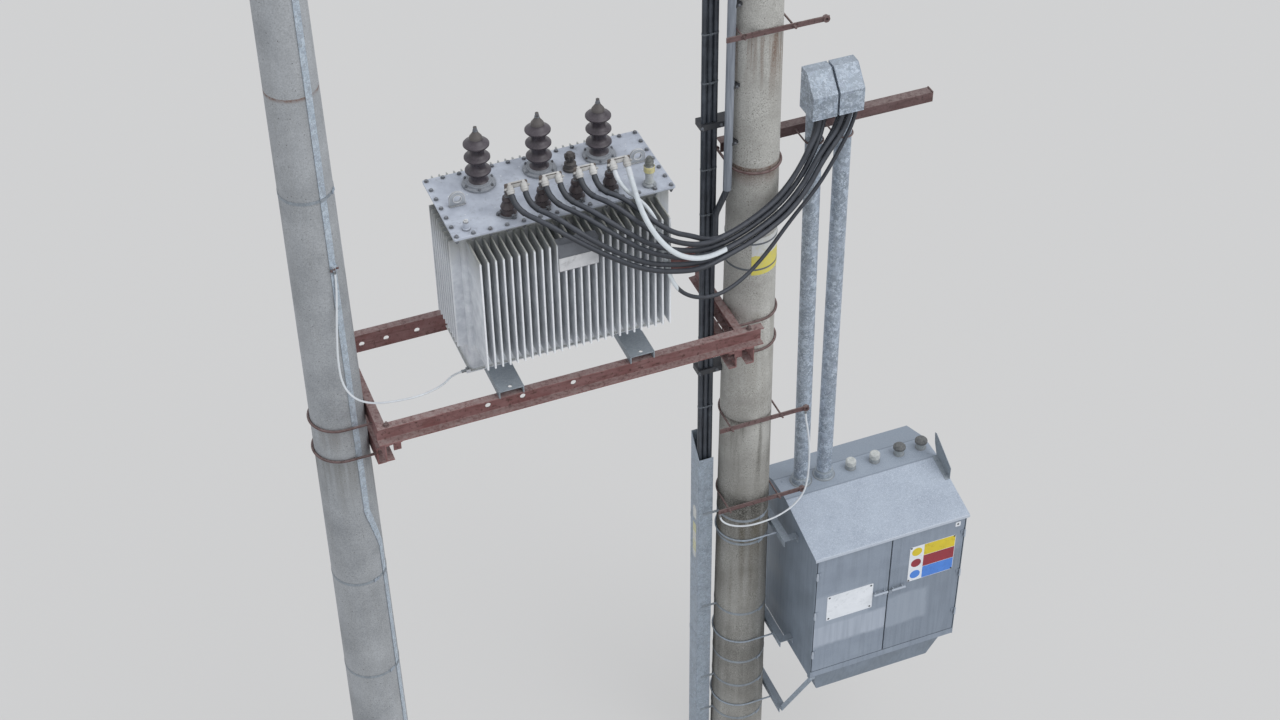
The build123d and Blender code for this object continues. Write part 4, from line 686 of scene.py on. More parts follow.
def strapped(centres, reach, low, height, thick):
    # A strap drawn tight round a bundle of round cables.
    outline, facets = [], 56
    for k in range(facets):
        out = Vector(polar(0, 0, 1, 360 * k / facets, 0)[:2])
        outline.append((max((Vector(c) for c in centres), key=out.dot) + out * reach, out))
    rings = []
    high, edge = low + height, thick * 0.5
    for gap, z in ((0, low), (thick, low + edge), (thick, high - edge), (0, high)):
        rings.append([mesh.verts.new(Vector((*(place + out * gap), z)) / 1000) for place, out in outline])
    skinned(rings)


riser_places = [(-298, 40), (-264, 40), (-230, 40), (-247, 74)]
tie_steel = zinc("stainless strap, dulled", "#5b6066", "#70767d", "#878d94", 5)
for strap_z in (3330, 3900, 4230, 4850, 5170, 5760, 6080, 6680, 7000, 7600, 7920, 8460):
    lean = random.uniform(-3, 3)
    strapped(riser_places, 16.3, strap_z + lean, 10, 1.4)
    block((-9, 0, 0), (9, 4.5, 13), Quaternion(up, math.pi), (-264 + 2 * lean, 23.4, strap_z + lean - 1.5))
fitted("riser_straps", tie_steel)


def pole_radius(z):
    return 188 - 0.007 * z


for clamp_z in (3640, 4560, 5480, 6400, 7320, 8240):
    for side_x in (-317, -200):
        fastener((side_x, 12.6, clamp_z), front, 10, 8)
outward = Vector(polar(0, 0, 1, 200, 0))
for saddle_z in (5400, 5780, 6300):
    for side in sides:
        across = Vector((-outward.y, outward.x, 0)) * side * 25.6
        seat = outward * (pole_radius(saddle_z) + 24) + across + Vector((0, 0, saddle_z))
        fastener(seat, across.normalized(), 8, 6)
fitted("riser_clamp_nuts", bolt_steel)

# The guard is made of three folded lengths, each lapped over the one below and riveted through.
guard_rivet = [(0, 0), (4.5, 0), (4, 1.5), (2.2, 2.4), (0, 2.6)]
for lap_z in (2305, 1195):
    block((-320.3, -1.2, lap_z - 22), (-216.6, 0.1, lap_z + 22))
    block((-320.3, -1.2, lap_z - 22), (-319, 131, lap_z + 22))
    for rivet_x in (-300, -268, -236):
        turned((rivet_x, -1, lap_z + 10), front, guard_rivet, 12)
    for rivet_y in (20, 65, 110):
        turned((-320.1, rivet_y, lap_z + 10), (-1, 0, 0), guard_rivet, 12)
turned((-319.5, -0.5, 40), up, [(0, 0), (2.2, 1), (2.2, 2855), (0, 2856)], 10)
fitted("guard_laps", dull_zinc)


def rounded(axis, radius, segments):
    # Rounds the corners of a sheet, along the edges that pass through its thickness.
    edges = [edge for edge in mesh.edges if abs((edge.verts[0].co - edge.verts[1].co)[axis]) > 0.0001]
    bmesh.ops.bevel(mesh, geom=edges, offset=radius / 1000, segments=segments, affect="EDGES")


# A narrow self-adhesive plate on the guard's left face, bleached by the sun.
label_vinyl = banded("bleached vinyl, yellow over white", [
    (0, "#c6c9c6"), (2.02, "#c8c79e"), (2.12, "#cccbc0"), (2.2, "#c4c390"), (2.33, "#cfd1cd")], 0.45)
block((-319.9, 34, 1960), (-319.2, 86, 2440))
rounded(0, 12, 5)
fitted("guard_label", label_vinyl)


# Three rusty steel bars stand out from the right pole: each is held by a bent rod with two nuts, and
# the eye at its end holds the bond wire's lug. The wires' lugs are pressed from tinned copper.
for bar_z in (2567, 3280, 6140):
    leg_x = pole_radius(bar_z - 12) + 6.3
    for side in sides:
        fastener((side * leg_x, -(pole_radius(bar_z - 16) + 8.4), bar_z), front, 12, 14)
    weld_y = -(pole_radius(bar_z) + 9)
    seam((322, weld_y, bar_z - 13), (322, weld_y, bar_z + 13), 3, 4)
fitted("bar_nuts", brown_primer)

clamp = Vector((-2532.5, -151.5, 5250))
turned((345, -171, 3263), down, [
    (0, 0), (17, 0), (17, 2.5), (9, 3), (8.2, 5), (8.2, 26), (7, 28), (6.3, 28)], 18)
turned((-240, -174.6, 2551), down, [
    (0, 0), (11, 0), (11, 2.5), (8.2, 4), (8.2, 26), (7, 28), (6.3, 28)], 18)
turned(clamp, down, [(0, 0), (9.5, 0), (9.5, 3), (8.2, 4), (8.2, 24), (7, 26), (6.3, 26)], 18)
fitted("wire_lugs", lug_tin)

# The clamp that holds the wire on the earth strip has one bolt, rusted solid.
outward = Vector(polar(0, 0, 1, -66, 0))
along = Vector((-outward.y, outward.x, 0))
for side in sides:
    fastener(clamp + outward * 5 + along * side * 9 + Vector((0, 0, 15)), outward, 8, 6)
turned(clamp + Vector((0, 0, 4)) - along * 27, along, [(0, 0), (7, 1), (8, 4), (8, 50), (7, 53), (0, 54)], 12)
fitted("strip_clamp_bolts", brown_primer)

# Thin steel bands hold the strip and the guard; each is tightened through a pressed buckle and its
# free end is bent back over it.
for pole_x, band_z, turn in (
        (left_pole_x, 1985, -58), (left_pole_x, 2836, -66), (left_pole_x, 5712, -30), (0, 1007, -64),
        (0, 2184, -70), (0, 406, -60), (0, 760, -58), (0, 1500, -62), (0, 2400, -66)):
    spin = Quaternion(up, math.radians(turn))
    reach = pole_radius(band_z) + 0.5
    for low, high in (((reach, -17, -12), (reach + 4.5, 17, 12)),
                      ((reach + 4, -13, -10), (reach + 6, 20, 10)),
                      ((reach + 3, -19, -13), (reach + 7.5, -14, 13))):
        block(low, high, spin, (pole_x, 0, band_z))
bmesh.ops.bevel(mesh, geom=list(mesh.edges), offset=0.0006, segments=1, affect="EDGES")
fitted("band_buckles", dull_zinc)

# A thin sheet sign, bent round the pole and strapped on: stove enamelled, yellow with a white field
# above, faded by the sun and scratched.
sign_z, sign_height = 4460, 270
sign_enamel, add = material("stove-enamelled sheet, faded")
worn = add("TexNoise", {"Scale": per(30), "Detail": 6, "Roughness": 0.7})
edge = add("Math", [worn, 0.05], operation="MULTIPLY")
edge = add("Math", [add("SeparateXYZ").outputs["Z"], edge], operation="ADD")
field = add("Math", [edge, (sign_z + 0.62 * sign_height) / 1000], operation="GREATER_THAN")
base = add("Mix", {0: field, 6: "#cfc353", 7: "#c9cbcc"}, data_type="RGBA")
base = laid(add, base, ("#b9b58c", (worn, 0.45, 0.7, 0, 0.6)))
shade(add, base, 0.45, worn, 0.2, {"IOR": 1.5})

rows, columns = 10, 28
layers = []
for off in (0.6, 2.0):
    layer = []
    for i in range(rows + 1):
        z = sign_z + sign_height * i / rows
        row = [polar(0, 0, pole_radius(z) + off, -112 + 92 * k / columns, z) for k in range(columns + 1)]
        layer.append([mesh.verts.new(Vector(place) / 1000) for place in row])
    layers.append(layer)
    for i in range(rows):
        for k in range(columns):
            mesh.faces.new([layer[i][k], layer[i][k + 1], layer[i + 1][k + 1], layer[i + 1][k]])
inner, outer = layers
for i in range(rows):
    for k in (0, columns):
        mesh.faces.new([inner[i][k], outer[i][k], outer[i + 1][k], inner[i + 1][k]])
for i in (0, rows):
    for k in range(columns):
        mesh.faces.new([inner[i][k], inner[i][k + 1], outer[i][k + 1], outer[i][k]])
fitted("pole_sign", sign_enamel)

for strap_z in (4500, 4690):
    radius = pole_radius(strap_z)
    turned((0, 0, strap_z - 6), up, [
        (radius + 0.2, 0), (radius + 2.8, 0), (radius + 2.8, 12), (radius + 0.2, 12)], 96)
fitted("sign_straps", tie_steel)


# The cabinet: folded 2 mm steel sheet, riveted and welded, powder coated in blue-grey. The coat has gone
# chalky, rain has drawn faint upright streaks down it, and the roof is frosted with fine pale specks.
def powder_coat(name, fresh, chalked, frost, frost_part, streak_part, patches=(), folds=()):
    made, add = material(name)
    place = add("SeparateXYZ").outputs
    tall = add("Mapping", {"Scale": (1, 1, 0.05)})
    streak = add("TexNoise", {"Vector": tall, "Scale": per(22), "Detail": 5})
    cloud = add("TexNoise", {"Scale": per(180), "Detail": 6, "Roughness": 0.6})
    speck = add("TexNoise", {"Scale": per(5), "Detail": 2})
    # The coat's orange peel is under a millimetre across; it is drawn at 2 mm so that it shows.
    peel = add("TexNoise", {"Scale": per(2), "Detail": 1})
    base = add("ValToRGB", [cloud], [(0.34, fresh), (0.66, chalked)])
    base = laid(add, base, ("#4f5961", (streak, 0.45, 0.68, 0, streak_part)))
    for x_low, x_high, z_low, z_high, code, strength in patches:
        # A field of another shade on the outer face, thin at its edges: the pale ones rolled over by hand,
        # the dark one on the right door just darker.
        wander = add("Math", [cloud, 0.08], operation="MULTIPLY")
        inside = (place["Y"], -0.5785, -0.5795)
        for axis, low, high in (("X", x_low, x_high), ("Z", z_low, z_high)):
            moved = add("Math", [place[axis], wander], operation="ADD")
            for start, end in ((low, low + 0.03), (high + 0.03, high)):
                inside = shared(add, inside, (moved, start, end))
        inside = shared(add, inside, (streak, 0.3, 0.6, 0.55, 1), strength)
        base = laid(add, base, (code, inside))
    # Whatever stands proud of the doors, the handles and the hasp, is pale: rubbed by hands, and a painted
    # highlight.
    base = laid(add, base, ("#bcc3cc", (place["Y"], -0.5825, -0.59, 0, 0.6)),
                (frost, (speck, 0.48, 0.62, 0, frost_part)))
    for fold_y in folds:
        # Behind the fold the coat is painted darker as painted shade; along the crease it is darker still,
        # with dust and painted shade.
        base = laid(add, base, ("#727d89", (place["Y"], fold_y, fold_y + 0.004, 0, 0.42)))
        off = add("Math", [place["Y"], -fold_y], operation="ADD")
        off = add("Math", [off], operation="ABSOLUTE")
        base = laid(add, base, ("#59626c", (off, 0.007, 0.003, 0, 0.5)))
    # Painted shade: corners and recesses are darkened as far as they are occluded.
    corner = add("AmbientOcclusion", {"Distance": 0.03}, samples=4).outputs["AO"]
    base = laid(add, base, ("#3f464b", (corner, 0.8, 0.35, 0, 0.6)))
    shade(add, base, (cloud, 0.3, 0.7, 0.46, 0.7), peel, 0.12, {"IOR": 1.5})
    return made


# Each patch: its lowest and highest X and Z in metres, colour and strength.
door_shades = ("#7f8997", "#8c96a3", "#a9b2bd", 0.2, 0.18)
# The walls' coat is painted darker than the front's, as painted shade; the roof's is paler, as painted light
# besides its frost.
wall_coat_painted_shaded = powder_coat("powder coat, blue-grey", "#717c88", "#808b98", "#a0aab5", 0.15, 0.25)
front_coat = powder_coat("powder coat, blue-grey, chalked", *door_shades)
left_door_coat = powder_coat("powder coat with an overpainted field", *door_shades, [
    (0.25, 0.9, 1.455, 1.66, "#aab2be", 0.9), (0.25, 0.72, 1.66, 1.95, "#a0a9b5", 0.65)])
right_door_coat = powder_coat("powder coat, right door, with an overpainted field", *door_shades, [
    (0.84, 1.42, 1.1, 2.02, "#6d7783", 0.5), (0.7, 1.17, 1.44, 1.74, "#a0a9b5", 0.6)])
roof_coat_painted_lit = powder_coat("powder coat, frosted, painted lit", "#959fad", "#a3adba", "#c6cdd7", 0.55, 0.1,
                        folds=(-0.105, 0.095))
dress(wall_coat_painted_shaded, "cabinet_back", "cabinet_left_side", "cabinet_right_side", "cabinet_base")
dress(front_coat, "cabinet_front_frame")
dress(left_door_coat, "left_door")
dress(right_door_coat, "right_door")
dress(roof_coat_painted_lit, "cabinet_roof")

# The bolts that hold the cabinet's arms to its wall, the rods round the pole and the struts' feet.
for arm_z in (1250, 2250, 580):
    web_x = pole_radius(arm_z - 50) + 5.3
    leg_y = pole_radius(arm_z - 37) + 6.3
    for side in sides:
        fastener((web_x, side * leg_y, arm_z - 25), (1, 0, 0), 12, 12)
        if arm_z > 1000:
            fastener((275, side * 275, arm_z - 30), (-1, 0, 0), 10, 5)
for strut_y in (-559, 299):
    fastener((301, strut_y, 1106), down, 10, 8)
fitted("bracket_nuts", grey_zinc)

# The roof's stubs: galvanised pipe ends. Two are closed by push-on white caps, two have dark plastic
# vent caps with a rib round them; each is sealed to the sheet with a bead of mastic.
vent_caps, add = material("dark polypropylene vent caps on galvanised pipe")
place = add("SeparateXYZ").outputs
chalk = add("TexNoise", {"Scale": per(14), "Detail": 6, "Roughness": 0.7})
pale_cap = add("ValToRGB", [chalk], [(0.35, "#a3a6a4"), (0.66, "#c6c8c5")])
dark_cap = add("ValToRGB", [chalk], [(0.35, "#4f5152"), (0.7, "#6f706f")])
bare_pipe = add("ValToRGB", [chalk], [(0.35, "#83898c"), (0.66, "#a3a9ab")])
vented = add("Math", [place["X"], 1.08], operation="GREATER_THAN")
dark_end = add("Math", [place["Z"], 2.4815], operation="GREATER_THAN")
pale_end = add("Math", [place["Z"], 2.4605], operation="GREATER_THAN")
vent = add("Mix", {0: dark_end, 6: bare_pipe, 7: dark_cap}, data_type="RGBA")
plain = add("Mix", {0: pale_end, 6: bare_pipe, 7: pale_cap}, data_type="RGBA")
base = add("Mix", {0: vented, 6: plain, 7: vent}, data_type="RGBA")
shade(add, base, 0.6, chalk, 0.2, {"IOR": 1.49})
dress(vent_caps, "roof_stubs")

plain_stubs, vent_stubs = (800, 980), (1165, 1330)
stub_y, vent_rim_z = 10, 2482
for stub_x in plain_stubs:
    for rise in (36, 44, 52):
        turned((stub_x, stub_y, roof_z + rise), up, [(34.8, 0), (36, 1), (36, 3.5), (34.8, 4.5)], 40)
    turned((stub_x, stub_y, 2499.5), up, [(30, 0), (28, 2), (18, 2.6), (16, 1.2), (0, 1.2)], 40)
for stub_x in vent_stubs:
    turned((stub_x, stub_y, 2507.5), up, [(32, 0), (31, 3), (24, 7), (12, 9.5), (0, 10)], 40)
    turned((stub_x, stub_y, vent_rim_z), up, [(41.8, 1), (43.4, 2), (43.4, 6), (41.8, 7)], 40)
    for k in range(12):
        block((40, -1.6, 8), (43, 1.6, 16), Quaternion(up, math.pi * k / 6), (stub_x, stub_y, vent_rim_z))
fitted("stub_cap_ribs", vent_caps)

mastic = grey_enamel("grey mastic bead, skinned over", "#8b9094", "#72777b", "#5b5e60", 0.1, 0.7)
for stub_x in plain_stubs + vent_stubs:
    turned((stub_x, stub_y, roof_z - 0.4), up, [(38.5, 0), (37, 3), (33.5, 5), (30.8, 6.5)], 40)
for foot_x in feet:
    turned((foot_x, foot_y, roof_z - 0.4), up, [(77, 0), (75, 2.6), (70.5, 3.8)], 48)
fitted("mastic_beads", mastic)

# A folded galvanised plate left standing at the right end of the roof, screwed down through its foot.
outline = [(-298, 2384.5), (-298, 2478), (-75, 2606), (-52, 2598), (-64, 2520), (-104, 2431)]
loops = [[mesh.verts.new(Vector((x, y, z)) / 1000) for y, z in outline] for x in (1393.6, 1396.2)]
for loop in loops:
    mesh.faces.new(loop)
skinned(loops)
spin = Quaternion((1, 0, 0), math.atan2(120, 489))
fold = Vector((0, -298, 2382.6))
block((1362, 0, 0.4), (1394.5, 199, 3), spin, fold)
for along in (40, 160):
    fastener(fold + spin @ Vector((1376, along, 3)), spin @ Vector(up), 6, 2)
fitted("roof_end_plate", grey_zinc)

for screw_x in (1352, 312):
    for screw_y in (-60, 60):
        turned((screw_x, screw_y, roof_z), up, [
            (0, 0), (6, 0), (6, 0.6), (4.6, 2.2), (2, 2.8), (0, 2.9)], 16)
for screw_x in range(330, 1390, 170):
    turned((screw_x, -594, 2301), front, [(0, 0), (4.6, 0), (4, 1.6), (2, 2.3), (0, 2.4)], 12)
fitted("roof_screws", roof_coat_painted_lit)


# Hinges: turned steel barrels on loose pins. The pin's cap is on the door's half, its foot on the frame's.
# Handles: bent round bar on pressed roses. Both are painted over with the cabinet.
meeting_x, hinge_off, hinge_y, grip_z = 832.5, 545.5, -588, 1810
hinge_heights = (1370, 1760, 2142)
pin_cap = [(0, 0), (5.2, 0), (5.6, 1), (4.6, 3), (0, 3.8)]
for door, side, coat in (("left_door", -1, left_door_coat), ("right_door", 1, right_door_coat)):
    hinge_x = meeting_x + side * hinge_off
    for hinge_z in hinge_heights:
        turned((hinge_x, hinge_y, hinge_z + 30), up, pin_cap, 20)
        for rise in (9, 22):
            turned((hinge_x - side * 19, -583, hinge_z + rise), front, [
                (0, 0), (4, 0), (3.4, 1.2), (1.4, 1.8), (1.2, 1.1), (0, 1.1)], 16)
    for post in (32, 100):
        turned((meeting_x + side * post, -580, grip_z), front, [
            (5.6, 0), (10.5, 0), (10, 1.8), (7.5, 3), (5.6, 3.4)])
    for end, way in ((16, -1), (116, 1)):
        turned((meeting_x + side * end, -606, grip_z), (side * way, 0, 0), [
            (8, -0.2), (7.6, 1.2), (5, 2.4), (0, 2.9)], 20)
    for rise in (-10, 10):
        turned((meeting_x + side * 23, -586, 1778 + rise), front, [
            (0, 0), (3.2, 0), (2.8, 1.2), (1.2, 1.8), (0, 1.9)], 12)
    fitted(door + "_fittings", coat, door)

for side in sides:
    for hinge_z in hinge_heights:
        turned((meeting_x + side * hinge_off, hinge_y, hinge_z - 30), down, pin_cap, 20)
fitted("hinge_pin_feet", front_coat)

# The cover strip riveted down the right door's edge, where the doors meet.
door_sheet, door_face = -580.1, -581.3
block((839, -581.4, 1196), (899, door_sheet, 2276))
for k in range(8):
    for rivet_x in (846, 892):
        turned((rivet_x, door_face, 1220 + k * 147.5), front, [
            (0, 0), (3.4, 0), (2.9, 1), (1.3, 1.6), (0, 1.7)], 12)
fitted("door_cover_strip", right_door_coat, "right_door")

# A flat strip of sponge rubber on the frame, against which the doors close.
sponge = grey_enamel("sponge rubber strip", "#33363a", "#26282b", "#3b3c3c", 0.05, 0.3)
for low_x, high_x, low_z, high_z in ((296, 318, 1200, 2272), (1347, 1369, 1200, 2272),
                                     (318, 1347, 1200, 1222), (318, 1347, 2250, 2272)):
    block((low_x, -552.9, low_z), (high_x, -552.0, high_z))
fitted("door_seal", sponge)

# Plates on the doors, stove enamelled and riveted on: a plain white one on the left door; on the right
# door fields of yellow, dark red and blue, each with a disc of its colour beside it on white.
enamels = {
    "white": grey_enamel("white stove enamel", "#e3e6ea", "#d6dade", "#b4b8bc", 0.15, 0.4),
    "yellow": grey_enamel("yellow stove enamel", "#d9c32f", "#cdb72a", "#a08c2a", 0.1, 0.3),
    "red": grey_enamel("dark red stove enamel", "#97303c", "#8a2a36", "#6b2a32", 0.1, 0.3),
    "blue": grey_enamel("blue stove enamel", "#4f86d8", "#457bcc", "#3f64a0", 0.1, 0.3)}
rivet_metal = grey_enamel("steel rivets, darkened", "#43474b", "#33373a", "#2a2b2d", 0.05, 0.5)
plate_face = -581.2
for name, colour, door, low_x, high_x, low_z, high_z, back_y, thick, corner in (
        ("left_plate", "white", "left_door", 375, 716, 1675, 1910, door_sheet, 1.3, 4),
        ("right_plate", "white", "right_door", 974, 1316, 1816, 2145, door_sheet, 1.2, 6),
        ("right_plate_yellow", "yellow", "right_door", 1081, 1313, 2038, 2142, plate_face, 0.3, 1),
        ("right_plate_red", "red", "right_door", 1081, 1313, 1931, 2035, plate_face, 0.3, 1),
        ("right_plate_blue", "blue", "right_door", 1081, 1313, 1819, 1928, plate_face, 0.3, 1),
        ("corner_tag", "white", "right_door", 1303, 1341, 2220, 2262, door_sheet, 1.2, 3)):
    block((low_x, back_y - thick, low_z), (high_x, back_y, high_z))
    rounded(1, corner, 4)
    fitted(name, enamels[colour], door)
for colour, disc_z in (("yellow", 2090), ("red", 1983), ("blue", 1874)):
    turned((1028, plate_face, disc_z), front, [(0, 0), (38, 0), (37.6, 0.35), (0, 0.35)], 48)
    fitted("right_plate_disc_" + colour, enamels[colour], "right_door")
for door, rivets in (("left_door", ((392, 1692), (699, 1692), (392, 1893), (699, 1893))),
                     ("right_door", ((984, 1826), (1306, 1826), (984, 2135), (1306, 2135), (1322, 2241)))):
    for rivet_x, rivet_z in rivets:
        turned((rivet_x, door_face, rivet_z), front, [
            (0, 0), (7.5, 0), (6.8, 1.6), (3.4, 2.6), (0, 2.9)], 16)
    fitted(door + "_plate_rivets", rivet_metal, door)


# Eight free cables run from the low-voltage terminals round the front of the right pole to the hoods.
# Each is stranded copper in an extruded sheath of black PVC, smooth, greyed on top by dust and a painted
# sheen; two have a white tube pulled over their upper length, which ends where the cable reaches the pole.
def sheath(name, changes_at_x, before, beyond):
    made, add = material(name)
    smear = add("TexNoise", {"Scale": per(45), "Detail": 6, "Roughness": 0.65})
    fine = add("TexNoise", {"Scale": per(4), "Detail": 3})
    past = add("Math", [add("SeparateXYZ").outputs["X"], changes_at_x], operation="GREATER_THAN")
    base = add("Mix", {0: past, 6: before, 7: beyond}, data_type="RGBA")
    # Dust and a painted sheen grey the upward faces.
    dust_and_sheen_on_top = shared(add, (facing_up(add), -0.2, 0.95, 0, 0.34), (smear, 0.35, 0.65, 0.35, 1))
    base = laid(add, base, ("#70757f", dust_and_sheen_on_top))
    shade(add, base, (smear, 0.3, 0.7, 0.42, 0.68), fine, 0.15, {"IOR": 1.53})
    return made


nowhere = -9
black_sheath = sheath("black PVC sheath", nowhere, "#25282f", "#25282f")
white_to_black = sheath("white PVC sheath, black beyond the joint", -0.33, "#d3d9dc", "#25282f")
low_white_to_black = sheath("white PVC sheath of the low cable", -0.657, "#d3d9dc", "#25282f")
wire_sheath = sheath("white PVC wire", nowhere, "#d6dadd", "#d6dadd")
shrink_tube = sheath("black shrink tube", nowhere, "#1f2125", "#1f2125")


def cable(name, points, diameter, finish):
    line = bpy.data.curves.new(name, "CURVE")
    line.dimensions = "3D"
    spline = line.splines.new("NURBS")
    spline.points.add(len(points) - 1)
    for point, (x, y, z) in zip(spline.points, points):
        point.co = (x / 1000, y / 1000, z / 1000, 1)
    spline.order_u = 3
    spline.use_endpoint_u = True
    line.resolution_u = 10
    line.bevel_depth = diameter / 2000
    line.bevel_resolution = 6
    line.use_fill_caps = True
    made = bpy.data.objects.new(name + "_line", line)
    bpy.context.scene.collection.objects.link(made)
    line.materials.append(finish)
    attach(made, "station")
    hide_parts(name)
    [v / 1000 for v in points[0]]


# Four stations of the bundle, each its centre and the ways up and back across it, and where it turns up.
bundle = [((-330, -350, 4900), (0, 23, 27), (0, 27, -23)), ((-130, -305, 4930), (-4, 23, 27), (0, 27, -23)),
          ((80, -245, 4995), (-12, 21, 26), (0, 27, -22)), ((225, -190, 5100), (-22, 15, 24), (10, 25, -22))]
bundle_turn = (335, -145, 5240)


def routed(number, side, middle, hood_x, hood_y):
    # Straight out of the terminal, along the cable's own way, and straight up into its gland.
    x = tank_x + (number - 2.5) * 199 + 55 + side * 40
    out, in_hood = [(x, -215.3, 5515.7), (x, -275, 5456)], [(hood_x, hood_y, 5365), (hood_x, hood_y, 5489.7)]
    return out + middle + in_hood


def bundled(number, side, own, across, deep, hood_x, hood_y):
    # Each cable keeps its own lane of the bundle, so many diameters up and back from the middle.
    lanes = [tuple(c + across * rise + deep * back for c, rise, back in zip(*station)) for station in bundle]
    last = tuple(t + s - c for t, s, c in zip(bundle_turn, lanes[-1], bundle[-1][0]))
    return routed(number, side, own + lanes + [last], hood_x, hood_y)


for number, side, own, across, deep, hood_x, hood_y, length in (
        (1, -1, [(-1411, -400, 5418), (-1275, -490, 5327), (-1081, -535, 5178), (-890, -540, 5041),
                 (-690, -505, 4941), (-502, -436, 4855)], -1.5, -0.5, 576, -79, 2768),
        (1, 1, [(-1347, -400, 5440), (-1236, -495, 5356), (-1067, -530, 5215), (-880, -530, 5076),
                (-701, -502, 4990), (-498, -398, 4870)], -1.5, 0.5, 576, -44, 2732),
        (2, -1, [(-1193, -400, 5409), (-1076, -500, 5330), (-904, -535, 5181), (-744, -520, 5074),
                 (-541, -425, 4938)], -0.5, 0.5, 526, -44, 2538),
        (2, 1, [(-1140, -400, 5425), (-1035, -500, 5356), (-878, -530, 5218), (-723, -512, 5111),
                (-514, -405, 4966)], 0.5, 0.5, 424, -44, 2378),
        (3, -1, [(-1024, -400, 5442), (-912, -500, 5348), (-774, -520, 5215), (-613, -465, 5084),
                 (-464, -400, 4997)], 1.5, -0.5, 378, -79, 2169),
        (3, 1, [(-957, -380, 5451), (-873, -432, 5371), (-791, -490, 5295), (-703, -508, 5221),
                (-569, -428, 5106), (-440, -345, 4980)], 1.5, 0.5, 378, -44, 2131)):
    name = "cable_%d%s" % (number, "a" if side < 0 else "b")
    route = bundled(number, side, own, across, deep, hood_x, hood_y)
    cable(name, route, 30, black_sheath)
cable("cable_4a", routed(4, -1, [
    (-843, -372, 5386), (-806, -440, 5340), (-773, -474, 5238), (-744, -474, 5076), (-720, -474, 4905),
    (-649, -450, 4750), (-530, -405, 4628), (-383, -370, 4568), (-214, -330, 4594), (-41, -280, 4692),
    (161, -215, 4873), (333, -165, 5000), (460, -125, 5146)], 622, -62),
    24, low_white_to_black)
cable("cable_4b", bundled(4, 1, [
    (-885, -434, 5440), (-884, -540, 5391), (-831, -590, 5275), (-733, -595, 5146), (-606, -550, 5041),
    (-477, -475, 4962)], -0.5, -0.5, 526, -79), 30, white_to_black)


# Black shrink tube grips each black cable where it leaves its terminal, and a thicker white lip each
# white one. Each is slid over its cable's end and follows the line of it.
def tube_along(line_name, start, end, profile):
    centre_line = bpy.data.curves[line_name].copy()
    centre_line.bevel_depth = 0
    centre_line.resolution_u = 24
    holder = bpy.data.objects.new(line_name + "_centre", centre_line)
    points = [v.co * 1000 for v in bpy.data.meshes.new_from_object(holder).vertices]
    bpy.data.objects.remove(holder)
    walked, stations = 0.0, []
    for here, after in zip(points, points[1:]):
        if start <= walked <= end:
            stations.append((walked, here, (after - here).normalized()))
        walked += (after - here).length
    side = stations[0][2].orthogonal().normalized()
    rings = []
    for count, (place, here, ahead) in enumerate(stations):
        side = (side - ahead * side.dot(ahead)).normalized()
        across = ahead.cross(side)
        sizes = [profile(place)]
        if count in (0, len(stations) - 1):
            sizes = [profile(place) - 1.6, profile(place)][::1 if count == 0 else -1]
        for size in sizes:
            turns = [k * math.pi / 10 for k in range(20)]
            ways = [side * math.cos(turn) + across * math.sin(turn) for turn in turns]
            rings.append([mesh.verts.new((here + way * size) / 1000) for way in ways])
    skinned(rings)


for name in ("cable_1a", "cable_1b", "cable_2a", "cable_2b", "cable_3a", "cable_3b"):
    tube_along(name, 6, 135, lambda place: 16.8 + 0.5 * math.sin(place / 9))
    fitted(name + "_shrink_tube", shrink_tube)
for name, radius in (("cable_4a", 12), ("cable_4b", 15)):
    tube_along(name, 6, 60, lambda place: radius + 1.4)
    fitted(name + "_lip", wire_sheath)


# Two thin white wires bond the steel to earth: one from the clamp on the left pole's strip to the
# tank's boss, the other from bar to bar on the right pole. Both are single cores in white PVC.
cable("earth_wire", [
    (-2532.5427, -151.5115, 5249.7), (-2532.5427, -151.5115, 5140), (-2556, -176, 4985), (-2578, -196, 4820),
    (-2592, -206, 4655), (-2588, -220, 4500), (-2540, -252, 4405), (-2450, -290, 4368), (-2320, -330, 4376),
    (-2170, -332, 4370), (-2030, -285, 4362), (-1943.8, -210, 4361), (-1868.8, -210, 4361)],
    12, wire_sheath)
cable("bond_wire", [
    (345, -171, 3259.7), (345, -171, 3200), (362, -180, 3105), (376, -187, 2970), (381, -190, 2830),
    (376, -195, 2700), (345, -225, 2590), (255, -252, 2515), (152, -267, 2482), (60, -272, 2470),
    (-40, -266, 2460), (-120, -245, 2455), (-185, -214, 2462), (-225, -190, 2484), (-240, -174.555, 2515),
    (-240, -174.555, 2550.7)], 12, wire_sheath)


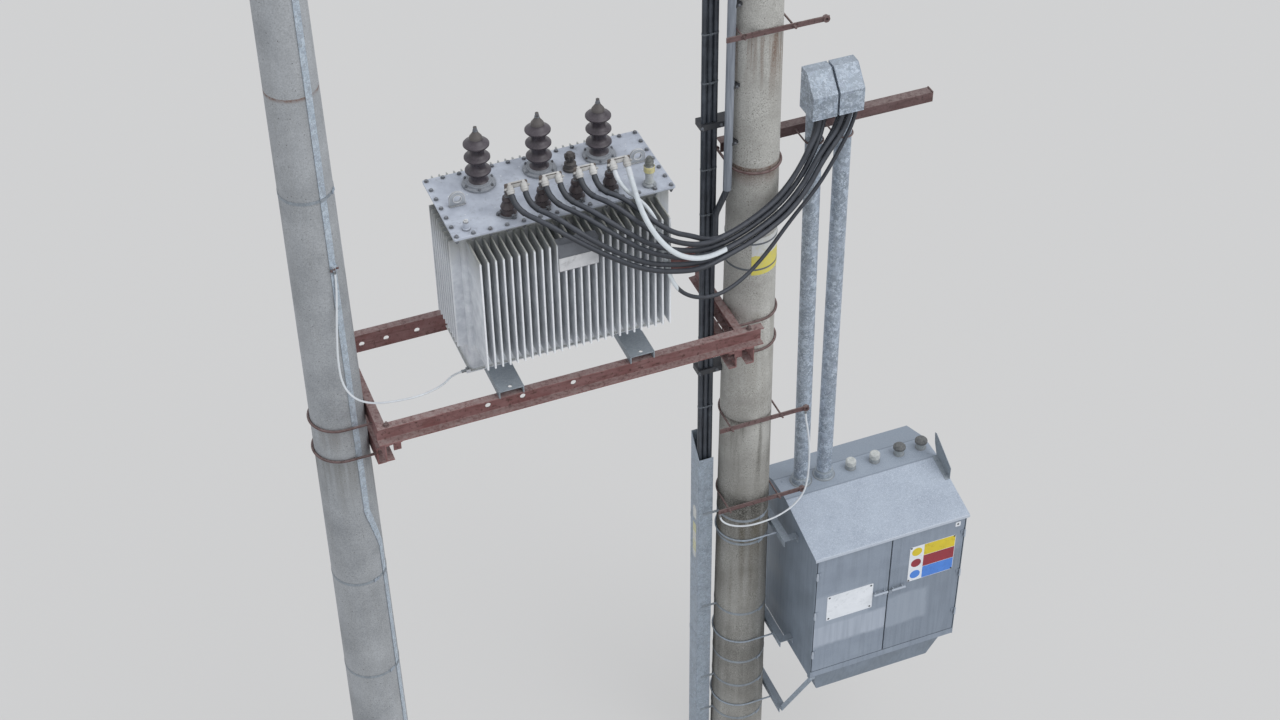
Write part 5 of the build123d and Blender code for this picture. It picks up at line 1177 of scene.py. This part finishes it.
# The studio: a plain pale floor at ground level, an even pale sky and one broad soft lamp from the
# right. The camera looks down on the transformer from high up on the left.
floor_paint, add = material("pale studio floor")
ray = add("LightPath").outputs
seen = add("Math", [ray["Is Camera Ray"], ray["Is Glossy Ray"]], operation="MAXIMUM")
seen = add("Math", [seen, ray["Is Transmission Ray"]], operation="MAXIMUM")
matt = add("BsdfDiffuse", {"Color": "#bcbcbc"})
glow = add("Emission", {"Color": "#d6d6d6", "Strength": 1})
lit = add("MixShader", [0.68, matt, glow])
add("OutputMaterial", [add("MixShader", [seen, add("BsdfDiffuse", {"Color": "#cdcdcd"}), lit])])
floor_mesh = bpy.data.meshes.new("studio floor")
floor_mesh.from_pydata([(-60, -60, 0), (60, -60, 0), (60, 90, 0), (-60, 90, 0)], [], [(0, 1, 2, 3)])
floor_mesh.materials.append(floor_paint)
studio_floor = bpy.data.objects.new("studio_floor", floor_mesh)
bpy.context.scene.collection.objects.link(studio_floor)

sky = bpy.data.worlds.new("even sky")
bpy.context.scene.world = sky
sky.use_nodes = True
add = adder(sky.node_tree)
lights = add("Background", {"Color": "#f0f3f8", "Strength": 0.92})
shows = add("Background", {"Color": "#d0d0d0", "Strength": 1})
add("OutputWorld", [add("MixShader", [add("LightPath"), lights, shows])])

soft_lamp = bpy.data.lights.new("broad soft lamp", "SUN")
soft_lamp.energy = 1.25
soft_lamp.angle = math.radians(50)
lamp = bpy.data.objects.new("broad_soft_lamp", soft_lamp)
lamp.rotation_euler = Vector((0.55, -0.5, 0.85)).to_track_quat("Z", "Y").to_euler()
bpy.context.scene.collection.objects.link(lamp)

yaw, pitch, roll = (math.radians(a) for a in (21.13, 40.813, -0.771))
ahead = Vector((math.sin(yaw) * math.cos(pitch), math.cos(yaw) * math.cos(pitch), -math.sin(pitch)))
level = Vector((math.cos(yaw), -math.sin(yaw), 0))
upright = level.cross(ahead)
across = math.cos(roll) * level + math.sin(roll) * upright
above = math.cos(roll) * upright - math.sin(roll) * level
stand_point = (-4.1847, -8.9701, 12.1995)
focal_pixels, photo_pixels, sensor_mm = 2084.09, 1280, 36
lens = bpy.data.cameras.new("camera")
lens.sensor_width = sensor_mm
lens.lens = focal_pixels * sensor_mm / photo_pixels
camera = bpy.data.objects.new("camera", lens)
camera.matrix_world = Matrix.Translation(stand_point) @ Matrix((across, above, -ahead)).transposed().to_4x4()
bpy.context.scene.collection.objects.link(camera)
bpy.context.scene.camera = camera
bpy.context.scene.view_settings.view_transform = "Standard"

bpy.context.view_layer.update()
